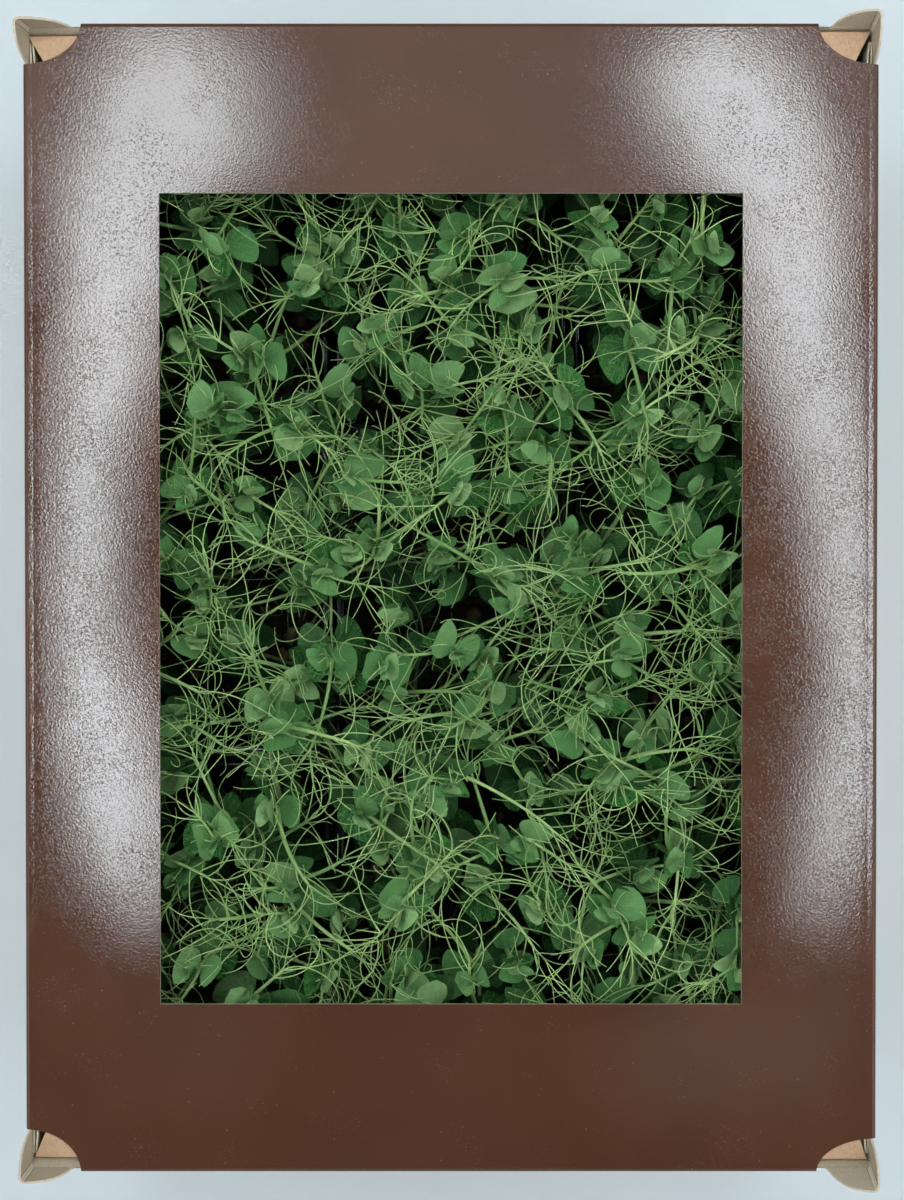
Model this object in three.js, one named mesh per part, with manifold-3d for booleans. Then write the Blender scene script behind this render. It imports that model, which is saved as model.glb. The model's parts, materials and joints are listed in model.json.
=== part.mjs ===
// A crate of living pea shoots: a folded board crate under a board lid with a window, holding nine
// punnets, each with its block of growing medium and its clump of shoots.
// Millimetres. The origin is the middle of the crate's underside. X runs along the crate's short side,
// Y along its long side and Z up.
import * as THREE from "three";
import { mergeVertices } from "three/addons/utils/BufferGeometryUtils.js";
import Module from "manifold-3d";

const wasm = await Module();
wasm.setup();

// --- Driving dimensions ---------------------------------------------------------------------------

// Gap left between two pieces that rest on, or stand in, one another.
const REST_GAP = 0.3;

// Crate, measured over its outside.
const CRATE_WIDTH = 296.5;
const CRATE_LENGTH = 400.2;
const BOARD = 1.0;
const FLOOR_BOARD = 1.2;
const LINING = 1.8;
const LINING_END_GAP = 4;
const SHELF_REACH = 35;
const SHELF_END_GAP = 0.3;
const SHELF_END_ANGLE = THREE.MathUtils.degToRad(31);

// Lid, measured over its outside, and its cut-outs.
const LID_WIDTH = 298.9;
const LID_LENGTH = 402.6;
const LID_BOARD = 0.9;
const LID_TOP = 140;
const SKIRT_DEPTH = 32;
const WINDOW_WIDTH = 204;
const WINDOW_LENGTH = 284;
const NOTCH_WIDTH = 19.6;
const NOTCH_DEPTH = 16;
const NOTCH_SEGMENTS = 24;

// Each corner ear: its side of the lid, how far the notch runs along the long side, and its lean out
// over the long side (X) and over the short side (Y), in degrees.
const CORNERS = [
  { sideX: -1, sideY: 1, notchLength: 14, leanX: 6.5, leanY: -3 },
  { sideX: 1, sideY: 1, notchLength: 14, leanX: 0, leanY: 6 },
  { sideX: -1, sideY: -1, notchLength: 14, leanX: 3.5, leanY: 4.5 },
  { sideX: 1, sideY: -1, notchLength: 11, leanX: -1.5, leanY: 17 },
];
const EAR_RISE = 12;
const EAR_REACH_X = 16;
// An ear's outline bulges out more with a higher squareness and with a lower fullness.
const EAR_SQUARENESS = 3;
const EAR_FULLNESS = 0.65;
const EAR_STEPS = 5;

// Punnets, in columns along X and rows along Y.
const COLUMNS = 3;
const ROWS = 3;
const PITCH_X = 96.5;
const PITCH_Y = 131;
const PUNNET_WIDTH = 94;
const PUNNET_LENGTH = 128;
const PUNNET_HEIGHT = 45;
const PUNNET_WALL = 1.0;
const PUNNET_TAPER = 5;
const PUNNET_CORNER = 10;
const FLANGE_WIDTH = 3;
const FLANGE_THICKNESS = 1.2;
const CORNER_STEPS = 1;

// Growing medium.
const MEDIUM_DEPTH = 36;
const HOLE_DEPTH = 14;
const HOLE_RADIUS = 3;
const HOLE_SIDES = 4;

// Pea shoots. The leaves are larger than life, so that this smaller number of them covers the tray.
// Pairs of numbers are the lowest and the highest draw.
// Where the stems of one clump stand, as shares of the punnet's width and length.
const STEM_PLACES = [[-0.26, 0.33], [0.26, 0.33], [-0.26, 0], [0.26, 0], [-0.26, -0.33], [0.26, -0.33]];
const STEM_JITTER = 3;
const STEM_RADIUS = 1.5;
const STEM_SIDES = 4;
const STEM_TURN = [-0.5, 0.5];
const STEM_LEAN = [0, 6];
const STEM_TOP = [104, 118];
const LEAF_LEVELS = [0.64, 0.88];
const LEAF_THICKNESS = 0.9;
const LEAF_LENGTH = [31, 37];
const LEAF_TILT = [0.12, 0.6];
const LEAF_SHRINK = 0.94;
const BUD_HEIGHT = 13;
const BUD_WIDTH = 8;
const BUD_BELLY = 0.4;
const TENDRIL_RADIUS = 0.8;
const TENDRIL_SIDES = 3;
const TENDRIL_STEPS = 5;
const TENDRIL_LEVEL = [0.66, 0.82];
const TENDRIL_REACH = [16, 26];
const TENDRIL_RISE = [10, 18];
const CURL_SIZE = [4, 7];
const LINK_STEPS = 3;
const LINK_RISE = [2, 10];
const CANOPY_TOP = 134;
const PLACING_TRIES = 300;
const FIRST_SEED = 1000;

// One stipule's outline from the right of its base round to the left, across and along, as shares of its
// length. The stipule on the other side of the stem is its mirror image.
const LEAF_OUTLINE = [[0.38, 0.04], [0.5, 0.5], [0.14, 0.97], [-0.34, 0.76], [-0.38, 0.2]];
const LEAF_CENTRE = [0.03, 0.5];
const LEAF_FOLD = 0.25;
const LEAF_DROOP = 0.14;

// A curling tendril's route: out by shares of its reach and of its curl, up by a share of its rise, and
// sideways by a share of its curl.
const TENDRIL_ROUTE = [
  { reach: 0.6, curl: 0, rise: 0.7, aside: 0 },
  { reach: 1, curl: 0, rise: 1, aside: 0.4 },
  { reach: 1, curl: 0.5, rise: 1.07, aside: 1.6 },
  { reach: 1, curl: -0.7, rise: 1.14, aside: 2 },
];

// How far a cutting solid runs past the face that it cuts, and the distance at which points merge.
const CUT_PAST = 1;
const MERGE_DISTANCE = 1e-4;

// --- Worked out from them -------------------------------------------------------------------------

const LID_UNDER = LID_TOP - LID_BOARD;
const WALL_TOP = LID_UNDER - REST_GAP;
const INNER_WIDTH = CRATE_WIDTH - 2 * (BOARD + LINING);
const INNER_LENGTH = CRATE_LENGTH - 4 * BOARD;
const PUNNET_BASE = FLOOR_BOARD + REST_GAP;
const PUNNET_FLOOR = PUNNET_BASE + PUNNET_WALL;
const MEDIUM_BASE = PUNNET_FLOOR + REST_GAP;
const MEDIUM_TOP = MEDIUM_BASE + MEDIUM_DEPTH;

// --- Materials ------------------------------------------------------------------------------------

const finish = (color, roughness) => new THREE.MeshStandardMaterial({ color, roughness, metalness: 0 });
const boardFinish = () => finish(0xbd9d78, 0.9);
const lidFinish = () => finish(0x56402f, 0.35);
const plasticFinish = () => finish(0x15171b, 0.25);
const mediumFinish = () => finish(0x3b2a1e, 0.95);
const leafFinish = () => finish(0x55762f, 0.6);

// --- Helpers --------------------------------------------------------------------------------------

/** Seeded random numbers from 0 to 1 (mulberry32). */
function randomFrom(seed) {
  let state = seed;
  return () => {
    state = (state + 0x6d2b79f5) | 0;
    let mixed = Math.imul(state ^ (state >>> 15), 1 | state);
    mixed = (mixed + Math.imul(mixed ^ (mixed >>> 7), 61 | mixed)) ^ mixed;
    return ((mixed ^ (mixed >>> 14)) >>> 0) / 4294967296;
  };
}

const draw = (random, [low, high]) => low + (high - low) * random();

/** A closed geometry as a solid that can be joined and cut. */
function solidOf(geometry) {
  geometry.deleteAttribute("normal");
  geometry.deleteAttribute("uv");
  const merged = mergeVertices(geometry, MERGE_DISTANCE);
  return new wasm.Manifold(
    new wasm.Mesh({
      numProp: 3,
      vertProperties: new Float32Array(merged.attributes.position.array),
      triVerts: new Uint32Array(merged.index.array),
    })
  );
}

/** A solid as a geometry for a mesh. */
function geometryOf(solid) {
  const mesh = solid.getMesh();
  const geometry = new THREE.BufferGeometry();
  geometry.setAttribute("position", new THREE.BufferAttribute(mesh.vertProperties, 3));
  geometry.setIndex(new THREE.BufferAttribute(mesh.triVerts, 1));
  const flat = geometry.toNonIndexed();
  flat.computeVertexNormals();
  return flat;
}

const joined = (solids) => solids.reduce((whole, solid) => whole.add(solid));

/** A box between two corners. */
function boxBetween(low, high) {
  const size = high.map((value, axis) => value - low[axis]);
  const box = new THREE.BoxGeometry(...size);
  box.translate(...low.map((value, axis) => value + size[axis] / 2));
  return solidOf(box);
}

/** A rectangle with rounded corners, centred on the origin. */
function roundedRectangle(width, length, radius) {
  const shape = new THREE.Shape();
  const x = width / 2 - radius;
  const y = length / 2 - radius;
  const quarter = Math.PI / 2;
  shape.absarc(x, y, radius, 0, quarter);
  shape.absarc(-x, y, radius, quarter, 2 * quarter);
  shape.absarc(-x, -y, radius, 2 * quarter, 3 * quarter);
  shape.absarc(x, -y, radius, 3 * quarter, 4 * quarter);
  return shape;
}

/** An upright block on a rounded rectangle that narrows by taper on each side towards its base. */
function taperedBlock(width, length, radius, height, taper, base) {
  const shape = roundedRectangle(width, length, radius);
  const options = { depth: height, bevelEnabled: false, curveSegments: CORNER_STEPS };
  const block = new THREE.ExtrudeGeometry(shape, options);
  const position = block.attributes.position;
  for (let i = 0; i < position.count; i += 1) {
    const inward = taper * (1 - position.getZ(i) / height);
    position.setX(i, position.getX(i) * (1 - (2 * inward) / width));
    position.setY(i, position.getY(i) * (1 - (2 * inward) / length));
  }
  block.translate(0, 0, base);
  return solidOf(block);
}

/** A flat outline of [x, y] points as a plate from height low to height high. */
function plate(points, low, high) {
  const shape = new THREE.Shape(points.map(([x, y]) => new THREE.Vector2(x, y)));
  const geometry = new THREE.ExtrudeGeometry(shape, { depth: high - low, bevelEnabled: false });
  geometry.translate(0, 0, low);
  return geometry;
}

/** A tube with few sides along a curve, with closed ends. */
function tubeAlong(curve, radius, sides, steps) {
  const section = new THREE.Shape();
  for (let i = 0; i < sides; i += 1) {
    const angle = (2 * Math.PI * i) / sides;
    const x = radius * Math.cos(angle);
    const y = radius * Math.sin(angle);
    if (i === 0) section.moveTo(x, y);
    else section.lineTo(x, y);
  }
  return new THREE.ExtrudeGeometry(section, { steps, extrudePath: curve, bevelEnabled: false });
}

function meshOf(name, solid, material) {
  const mesh = new THREE.Mesh(geometryOf(solid), material);
  mesh.name = name;
  return mesh;
}

// --- Crate ----------------------------------------------------------------------------------------

/** How far the ear reaches along the long side before it has dropped under the lid. */
function earReachY(corner) {
  return corner.notchLength - (LID_LENGTH - CRATE_LENGTH) / 2 - REST_GAP;
}

/** One ear's outline: distance in from its corner and height, round from its foot. */
function earOutline(reach) {
  const fullRise = LID_TOP + EAR_RISE - WALL_TOP;
  const top = [];
  for (let i = EAR_STEPS; i >= 0; i -= 1) {
    const share = i / EAR_STEPS;
    const rise = fullRise * (1 - share ** EAR_SQUARENESS) ** EAR_FULLNESS;
    top.push([share * reach, WALL_TOP + rise]);
  }
  return [[0, WALL_TOP], [0, WALL_TOP - BOARD], [reach, WALL_TOP - BOARD], ...top];
}

/** Stands a plate of board in a short wall's place. */
function standShort(board, sideY) {
  board.rotateX(Math.PI / 2);
  board.translate(0, sideY > 0 ? CRATE_LENGTH / 2 : -CRATE_LENGTH / 2 + BOARD, 0);
  return board;
}

/** Stands a plate of board in a long wall's place. */
function standLong(board, sideX) {
  board.rotateX(Math.PI / 2);
  board.rotateZ(Math.PI / 2);
  board.translate(sideX > 0 ? CRATE_WIDTH / 2 - BOARD : -CRATE_WIDTH / 2, 0, 0);
  return board;
}

/** How far a point of an ear leans out along one axis: most at the corner, and nothing at the ear's end. */
function leanedBy(rise, place, half, reach, degrees) {
  const share = Math.max(0, 1 - (half - Math.abs(place)) / reach);
  return rise * Math.tan(THREE.MathUtils.degToRad(degrees)) * share;
}

/** Leans an ear's board out over both its sides. */
function leaned(board, corner) {
  const position = board.attributes.position;
  for (let i = 0; i < position.count; i += 1) {
    const rise = Math.max(0, position.getZ(i) - WALL_TOP);
    const [x, y] = [position.getX(i), position.getY(i)];
    const shiftX = leanedBy(rise, x, CRATE_WIDTH / 2, EAR_REACH_X, corner.leanX);
    const shiftY = leanedBy(rise, y, CRATE_LENGTH / 2, earReachY(corner), corner.leanY);
    position.setX(i, x + corner.sideX * shiftX);
    position.setY(i, y + corner.sideY * shiftY);
  }
  return solidOf(board);
}

/** The two boards that meet in one corner's ear. */
function ear(corner) {
  const onShort = ([along, height]) => [corner.sideX * (CRATE_WIDTH / 2 - along), height];
  const onLong = ([along, height]) => [corner.sideY * (CRATE_LENGTH / 2 - along), height];
  const short = plate(earOutline(EAR_REACH_X).map(onShort), 0, BOARD);
  const long = plate(earOutline(earReachY(corner)).map(onLong), 0, BOARD);
  return leaned(standShort(short, corner.sideY), corner).add(
    leaned(standLong(long, corner.sideX), corner)
  );
}

/** The folded-over lining inside a long wall. */
function longLining(sideX) {
  const outer = CRATE_WIDTH / 2 - BOARD;
  const inner = outer - LINING;
  const [low, high] = sideX > 0 ? [inner, outer] : [-outer, -inner];
  const end = CRATE_LENGTH / 2 - BOARD - LINING_END_GAP;
  return boxBetween([low, -end, 0], [high, end, WALL_TOP]);
}

/** The inner ply of a short wall with the shelf flap that is folded in from its top edge. */
function shelf(sideY) {
  const outer = CRATE_LENGTH / 2 - BOARD;
  const inner = outer - BOARD;
  const edge = INNER_LENGTH / 2 - SHELF_REACH;
  const wide = CRATE_WIDTH / 2 - BOARD - SHELF_END_GAP;
  const narrow = wide - SHELF_REACH * Math.tan(SHELF_END_ANGLE);
  const outline = [[-wide, inner], [-narrow, edge], [narrow, edge], [wide, inner]];
  const flap = plate([...outline, [wide, outer], [-wide, outer]], WALL_TOP - BOARD, WALL_TOP);
  if (sideY < 0) flap.rotateZ(Math.PI);
  const [low, high] = sideY > 0 ? [inner, outer] : [-outer, -inner];
  const ply = boxBetween([-INNER_WIDTH / 2, low, 0], [INNER_WIDTH / 2, high, WALL_TOP]);
  return solidOf(flap).add(ply);
}

function crateSolid() {
  const half = [CRATE_WIDTH / 2, CRATE_LENGTH / 2];
  const block = boxBetween([-half[0], -half[1], 0], [half[0], half[1], WALL_TOP]);
  const inside = half.map((value) => value - BOARD);
  const hollow = boxBetween([-inside[0], -inside[1], FLOOR_BOARD], [inside[0], inside[1], LID_TOP]);
  const linings = [-1, 1].flatMap((side) => [longLining(side), shelf(side)]);
  return joined([block.subtract(hollow), ...linings, ...CORNERS.map(ear)]);
}

// --- Lid ------------------------------------------------------------------------------------------

/** The hole that the ear comes through, cut into the top and the two skirts beside it. */
function cornerNotch({ sideX, sideY, notchLength }) {
  const ball = new THREE.SphereGeometry(1, NOTCH_SEGMENTS, NOTCH_SEGMENTS / 2);
  ball.rotateX(Math.PI / 2);
  ball.scale(NOTCH_WIDTH, notchLength, NOTCH_DEPTH);
  ball.translate((sideX * LID_WIDTH) / 2, (sideY * LID_LENGTH) / 2, LID_TOP);
  return solidOf(ball);
}

function lidSolid() {
  const half = [LID_WIDTH / 2, LID_LENGTH / 2];
  const inner = half.map((value) => value - LID_BOARD);
  const window = [WINDOW_WIDTH / 2, WINDOW_LENGTH / 2];
  const bottom = LID_TOP - SKIRT_DEPTH;
  const whole = boxBetween([-half[0], -half[1], bottom], [half[0], half[1], LID_TOP]);
  const hollowBase = bottom - CUT_PAST;
  const hollow = boxBetween([-inner[0], -inner[1], hollowBase], [inner[0], inner[1], LID_UNDER]);
  const above = LID_TOP + CUT_PAST;
  const opening = boxBetween([-window[0], -window[1], bottom], [window[0], window[1], above]);
  return whole.subtract(joined([hollow, opening, ...CORNERS.map(cornerNotch)]));
}

// --- Punnets and growing medium -------------------------------------------------------------------

function punnetSolid() {
  const bodyWidth = PUNNET_WIDTH - 2 * FLANGE_WIDTH;
  const bodyLength = PUNNET_LENGTH - 2 * FLANGE_WIDTH;
  const rimBase = PUNNET_BASE + PUNNET_HEIGHT - FLANGE_THICKNESS;
  const body = taperedBlock(
    bodyWidth, bodyLength, PUNNET_CORNER, PUNNET_HEIGHT, PUNNET_TAPER, PUNNET_BASE
  );
  const flange = taperedBlock(
    PUNNET_WIDTH, PUNNET_LENGTH, PUNNET_CORNER, FLANGE_THICKNESS, 0, rimBase
  );
  const hollow = taperedBlock(
    bodyWidth - 2 * PUNNET_WALL, bodyLength - 2 * PUNNET_WALL, PUNNET_CORNER - PUNNET_WALL,
    PUNNET_HEIGHT, PUNNET_TAPER, PUNNET_FLOOR
  );
  return body.add(flange).subtract(hollow);
}

/** A straight hole down into the medium at one stem. */
function stemHole(base) {
  const hole = new THREE.CylinderGeometry(HOLE_RADIUS, HOLE_RADIUS, HOLE_DEPTH * 2, HOLE_SIDES);
  hole.rotateX(Math.PI / 2);
  hole.translate(base.x, base.y, MEDIUM_TOP);
  return solidOf(hole);
}

function mediumSolid(bases) {
  const inset = FLANGE_WIDTH + PUNNET_WALL + REST_GAP * 2;
  const narrowing = (PUNNET_TAPER * MEDIUM_DEPTH) / PUNNET_HEIGHT;
  const lost = PUNNET_TAPER * (1 - (MEDIUM_DEPTH + REST_GAP) / PUNNET_HEIGHT);
  const width = PUNNET_WIDTH - 2 * (inset + lost);
  const length = PUNNET_LENGTH - 2 * (inset + lost);
  const block = taperedBlock(width, length, PUNNET_CORNER, MEDIUM_DEPTH, narrowing, MEDIUM_BASE);
  return block.subtract(joined(bases.map(stemHole)));
}

// --- Pea shoots -----------------------------------------------------------------------------------

/** The room that one clump keeps to, so that it stays clear of its neighbours and of the lid. */
const CELL = new THREE.Box3(
  new THREE.Vector3(-PITCH_X / 2 + REST_GAP, -PITCH_Y / 2 + REST_GAP, 0),
  new THREE.Vector3(PITCH_X / 2 - REST_GAP, PITCH_Y / 2 - REST_GAP, CANOPY_TOP)
);

/** A closed surface put together from points and outward-facing triangles. */
class Skin {
  constructor() {
    this.points = [];
    this.index = [];
  }

  add(points) {
    const first = this.points.length;
    this.points.push(...points);
    return points.map((point, i) => first + i);
  }

  quad(a, b, c, d) {
    this.index.push(a, b, c, a, c, d);
  }

  solid() {
    const geometry = new THREE.BufferGeometry().setFromPoints(this.points);
    geometry.setIndex(this.index);
    return solidOf(geometry);
  }
}

/** The corners of a square stem where its axis passes a point. */
function stemRing(centre, turn, radius) {
  return Array.from({ length: STEM_SIDES }, (unused, corner) => {
    const angle = turn + (2 * Math.PI * corner) / STEM_SIDES;
    const offset = new THREE.Vector3(Math.cos(angle), Math.sin(angle), 0);
    return centre.clone().addScaledVector(offset, radius);
  });
}

/** A blade's outline as it is, or as its mirror image. */
function bladeOutline(mirrored) {
  return mirrored ? LEAF_OUTLINE.map(([across, along]) => [-across, along]).reverse() : LEAF_OUTLINE;
}

/** A cupped blade's points: its middle, then its outline from the right of its base round to the left. */
function bladePoints(base, out, length, tilt, mirrored) {
  const side = new THREE.Vector3(out.y, -out.x, 0);
  return [LEAF_CENTRE, ...bladeOutline(mirrored)].map(([across, along]) => {
    const rise = along * Math.sin(tilt) + LEAF_FOLD * Math.abs(across) - LEAF_DROOP * along * along;
    const point = base.clone().addScaledVector(side, across * length);
    point.addScaledVector(out, along * Math.cos(tilt) * length);
    point.z += rise * length;
    return point;
  });
}

/** The longest blade, up to that length, that keeps to the cell. */
function fittedBlade(base, out, length, tilt, mirrored) {
  const points = bladePoints(base, out, length, tilt, mirrored);
  const fits = points.every((point) => CELL.containsPoint(point));
  return fits ? points : fittedBlade(base, out, length * LEAF_SHRINK, tilt, mirrored);
}

/** Grows a blade out of one side of a stem, between two rings, split alike on both faces. */
function growBlade(skin, lower, upper, side, random) {
  const next = (side + 1) % STEM_SIDES;
  const base = skin.points[lower[side]].clone().add(skin.points[upper[next]]).multiplyScalar(0.5);
  const edge = skin.points[lower[next]].clone().sub(skin.points[lower[side]]);
  const out = new THREE.Vector3(edge.y, -edge.x, 0).normalize();
  const mirrored = side >= STEM_SIDES / 2;
  const points = fittedBlade(base, out, draw(random, LEAF_LENGTH), draw(random, LEAF_TILT), mirrored);
  const lift = new THREE.Vector3(0, 0, LEAF_THICKNESS / 2);
  const [topMiddle, ...topEdge] = skin.add(points.map((point) => point.clone().add(lift)));
  const [underMiddle, ...underEdge] = skin.add(points.map((point) => point.clone().sub(lift)));
  const top = [upper[side], ...topEdge, upper[next]];
  const under = [lower[side], ...underEdge, lower[next]];
  top.forEach((point, i) => {
    const following = (i + 1) % top.length;
    skin.index.push(topMiddle, point, top[following]);
    skin.index.push(underMiddle, under[following], under[i]);
    if (following > 0) skin.quad(under[i], under[following], top[following], point);
  });
}

/** Closes the sides between two rings, but for those that a blade grows from. */
function closeSides(skin, lower, upper, open) {
  for (let side = 0; side < STEM_SIDES; side += 1) {
    const next = (side + 1) % STEM_SIDES;
    if (!open.includes(side)) skin.quad(lower[side], lower[next], upper[next], upper[side]);
  }
}

/** A shoot as one skin: its square stem, its pairs of stipules and a folded young leaf on top. */
function shootSolid(stem, random) {
  const skin = new Skin();
  const turn = draw(random, STEM_TURN);
  const ringAt = (point, radius) => skin.add(stemRing(point, turn, radius));
  const bottom = ringAt(stem.getPointAt(0), STEM_RADIUS);
  skin.quad(bottom[3], bottom[2], bottom[1], bottom[0]);
  let last = bottom;
  LEAF_LEVELS.forEach((level, order) => {
    const point = stem.getPointAt(level);
    const lower = ringAt(point, STEM_RADIUS);
    const upper = ringAt(point.clone().setZ(point.z + LEAF_THICKNESS), STEM_RADIUS);
    const sides = order % 2 === 0 ? [0, 2] : [1, 3];
    closeSides(skin, last, lower, []);
    closeSides(skin, lower, upper, sides);
    sides.forEach((side) => growBlade(skin, lower, upper, side, random));
    last = upper;
  });
  const top = stem.getPointAt(1);
  const budBase = ringAt(top, STEM_RADIUS);
  const budBelly = ringAt(top.clone().setZ(top.z + BUD_HEIGHT * BUD_BELLY), BUD_WIDTH / 2);
  const budTip = ringAt(top.clone().setZ(top.z + BUD_HEIGHT), STEM_RADIUS / 2);
  closeSides(skin, last, budBase, []);
  closeSides(skin, budBase, budBelly, []);
  closeSides(skin, budBelly, budTip, []);
  skin.quad(...budTip);
  return skin.solid();
}

/** Grows pieces until one is clear of the others, and keeps the last one if none is. */
function placedClear(grow, others) {
  let solid = null;
  for (let i = 0; i < PLACING_TRIES; i += 1) {
    solid = grow();
    if (solid && others.every((other) => solid.intersect(other).isEmpty())) return solid;
  }
  return solid;
}

/** A tendril that springs from the stem, rises and curls over at its end, or null outside the cell. */
function curlingTendril(stem, random) {
  const from = stem.getPointAt(draw(random, TENDRIL_LEVEL));
  const direction = draw(random, [0, 2 * Math.PI]);
  const out = new THREE.Vector3(Math.cos(direction), Math.sin(direction), 0);
  const side = new THREE.Vector3(-out.y, out.x, 0);
  const reach = draw(random, TENDRIL_REACH);
  const rise = draw(random, TENDRIL_RISE);
  const curl = draw(random, CURL_SIZE);
  const bends = TENDRIL_ROUTE.map((bend) => {
    const point = from.clone().addScaledVector(out, reach * bend.reach + curl * bend.curl);
    point.addScaledVector(side, curl * bend.aside);
    return point.setZ(from.z + rise * bend.rise);
  });
  const route = new THREE.CatmullRomCurve3([from, ...bends]);
  const geometry = tubeAlong(route, TENDRIL_RADIUS, TENDRIL_SIDES, TENDRIL_STEPS);
  geometry.computeBoundingBox();
  return CELL.containsBox(geometry.boundingBox) ? solidOf(geometry) : null;
}

/** A tendril that has gripped the next stem. */
function linkingTendril(stem, next, random) {
  const from = stem.getPointAt(draw(random, TENDRIL_LEVEL));
  const to = next.getPointAt(draw(random, TENDRIL_LEVEL));
  const arch = from.clone().add(to).multiplyScalar(0.5);
  arch.z = Math.max(from.z, to.z) + draw(random, LINK_RISE);
  const route = new THREE.QuadraticBezierCurve3(from, arch, to);
  return solidOf(tubeAlong(route, TENDRIL_RADIUS, TENDRIL_SIDES, LINK_STEPS));
}

/** Where the stems of one clump leave the medium. */
function stemBases(random) {
  return STEM_PLACES.map(([shareX, shareY]) => {
    const jitter = [-STEM_JITTER, STEM_JITTER];
    const x = shareX * PUNNET_WIDTH + draw(random, jitter);
    const y = shareY * PUNNET_LENGTH + draw(random, jitter);
    return new THREE.Vector2(x, y);
  });
}

/** A stem that leaves the medium upright and leans a little higher up. */
function stemCurve(base, random) {
  const bottom = MEDIUM_TOP - HOLE_DEPTH + 2 * REST_GAP;
  const top = draw(random, STEM_TOP);
  const direction = draw(random, [0, 2 * Math.PI]);
  const lean = draw(random, STEM_LEAN);
  const tip = new THREE.Vector2(Math.cos(direction), Math.sin(direction)).multiplyScalar(lean).add(base);
  return new THREE.QuadraticBezierCurve3(
    new THREE.Vector3(base.x, base.y, bottom),
    new THREE.Vector3(base.x, base.y, (bottom + top) / 2),
    new THREE.Vector3(tip.x, tip.y, top)
  );
}

/** All the shoots of one punnet, held together as one body by the tendrils that link the stems. */
function clumpSolid(bases, random) {
  const stems = bases.map((base) => stemCurve(base, random));
  const grown = [];
  stems.forEach((stem) => grown.push(placedClear(() => shootSolid(stem, random), grown)));
  stems.forEach((stem, i) => {
    const others = grown.filter((piece, j) => j !== i);
    grown.push(placedClear(() => curlingTendril(stem, random), others));
  });
  const links = stems.slice(1).map((next, i) => linkingTendril(stems[i], next, random));
  const clump = joined([...grown.filter(Boolean), ...links]);
  const bodies = clump.decompose();
  if (bodies.length > 1) throw new Error(`a clump falls into ${bodies.length} bodies`);
  return clump;
}

// --- The whole tray -------------------------------------------------------------------------------

function punnetGroup(number, x, y) {
  const random = randomFrom(FIRST_SEED + number);
  const bases = stemBases(random);
  const group = new THREE.Group();
  group.position.set(x, y, 0);
  group.add(meshOf(`punnet_${number}`, punnetSolid(), plasticFinish()));
  group.add(meshOf(`growing_medium_${number}`, mediumSolid(bases), mediumFinish()));
  group.add(meshOf(`pea_shoots_${number}`, clumpSolid(bases, random), leafFinish()));
  return group;
}

function tray() {
  const group = new THREE.Group();
  group.add(meshOf("crate", crateSolid(), boardFinish()));
  group.add(meshOf("lid", lidSolid(), lidFinish()));
  for (let row = 0; row < ROWS; row += 1) {
    for (let column = 0; column < COLUMNS; column += 1) {
      const x = (column - (COLUMNS - 1) / 2) * PITCH_X;
      const y = ((ROWS - 1) / 2 - row) * PITCH_Y;
      group.add(punnetGroup(row * COLUMNS + column + 1, x, y));
    }
  }
  return group;
}

export default tray();
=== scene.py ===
"""A lidded board crate of living pea shoots: its boards, punnets, growing medium, leaves and tendrils.

Every length is in metres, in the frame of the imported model: X along the crate's short side, Y along its
long side and Z up from the surface that it stands on.
"""

import json
import math

import bmesh
import bpy
import numpy as np
from bpy.props import FloatProperty, FloatVectorProperty, IntProperty, PointerProperty
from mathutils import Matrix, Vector

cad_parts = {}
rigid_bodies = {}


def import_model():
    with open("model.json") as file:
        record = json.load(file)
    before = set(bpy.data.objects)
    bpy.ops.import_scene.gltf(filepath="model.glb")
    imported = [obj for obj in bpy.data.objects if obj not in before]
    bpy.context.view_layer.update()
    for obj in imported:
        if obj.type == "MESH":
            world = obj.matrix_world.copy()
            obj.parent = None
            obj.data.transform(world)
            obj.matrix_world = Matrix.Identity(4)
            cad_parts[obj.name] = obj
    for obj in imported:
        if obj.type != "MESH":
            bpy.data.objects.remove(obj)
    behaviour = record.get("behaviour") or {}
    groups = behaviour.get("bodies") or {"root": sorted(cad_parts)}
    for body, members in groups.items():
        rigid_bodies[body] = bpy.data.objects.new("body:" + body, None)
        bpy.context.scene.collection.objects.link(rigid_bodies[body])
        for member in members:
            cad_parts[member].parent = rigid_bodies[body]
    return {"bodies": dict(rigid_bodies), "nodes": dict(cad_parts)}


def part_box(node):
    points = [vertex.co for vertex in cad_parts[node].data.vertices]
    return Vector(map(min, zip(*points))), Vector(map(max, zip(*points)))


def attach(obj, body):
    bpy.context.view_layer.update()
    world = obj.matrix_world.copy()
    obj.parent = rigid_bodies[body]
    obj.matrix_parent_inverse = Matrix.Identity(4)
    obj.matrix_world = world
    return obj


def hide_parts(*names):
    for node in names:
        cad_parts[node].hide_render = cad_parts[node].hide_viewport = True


bl_info = {
    "name": "Pea Shoot Tray",
    "version": (1, 0, 0),
    "blender": (4, 5, 0),
    "location": "3D View > Sidebar > Pea Tray",
    "description": "Builds a lidded board crate of living pea shoots",
    "category": "Object",
}

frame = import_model()

MM = 0.001
BODY = next(iter(frame["bodies"]))
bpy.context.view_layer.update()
LID_LOW, LID_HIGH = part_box("lid")
CRATE_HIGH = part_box("crate")[1]
CLUMPS = sorted(name for name in frame["nodes"] if name.startswith("pea_shoots_"))
PUNNETS = sorted(name for name in frame["nodes"] if name.startswith("punnet_"))
MEDIA = sorted(name for name in frame["nodes"] if name.startswith("growing_medium_"))

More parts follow.
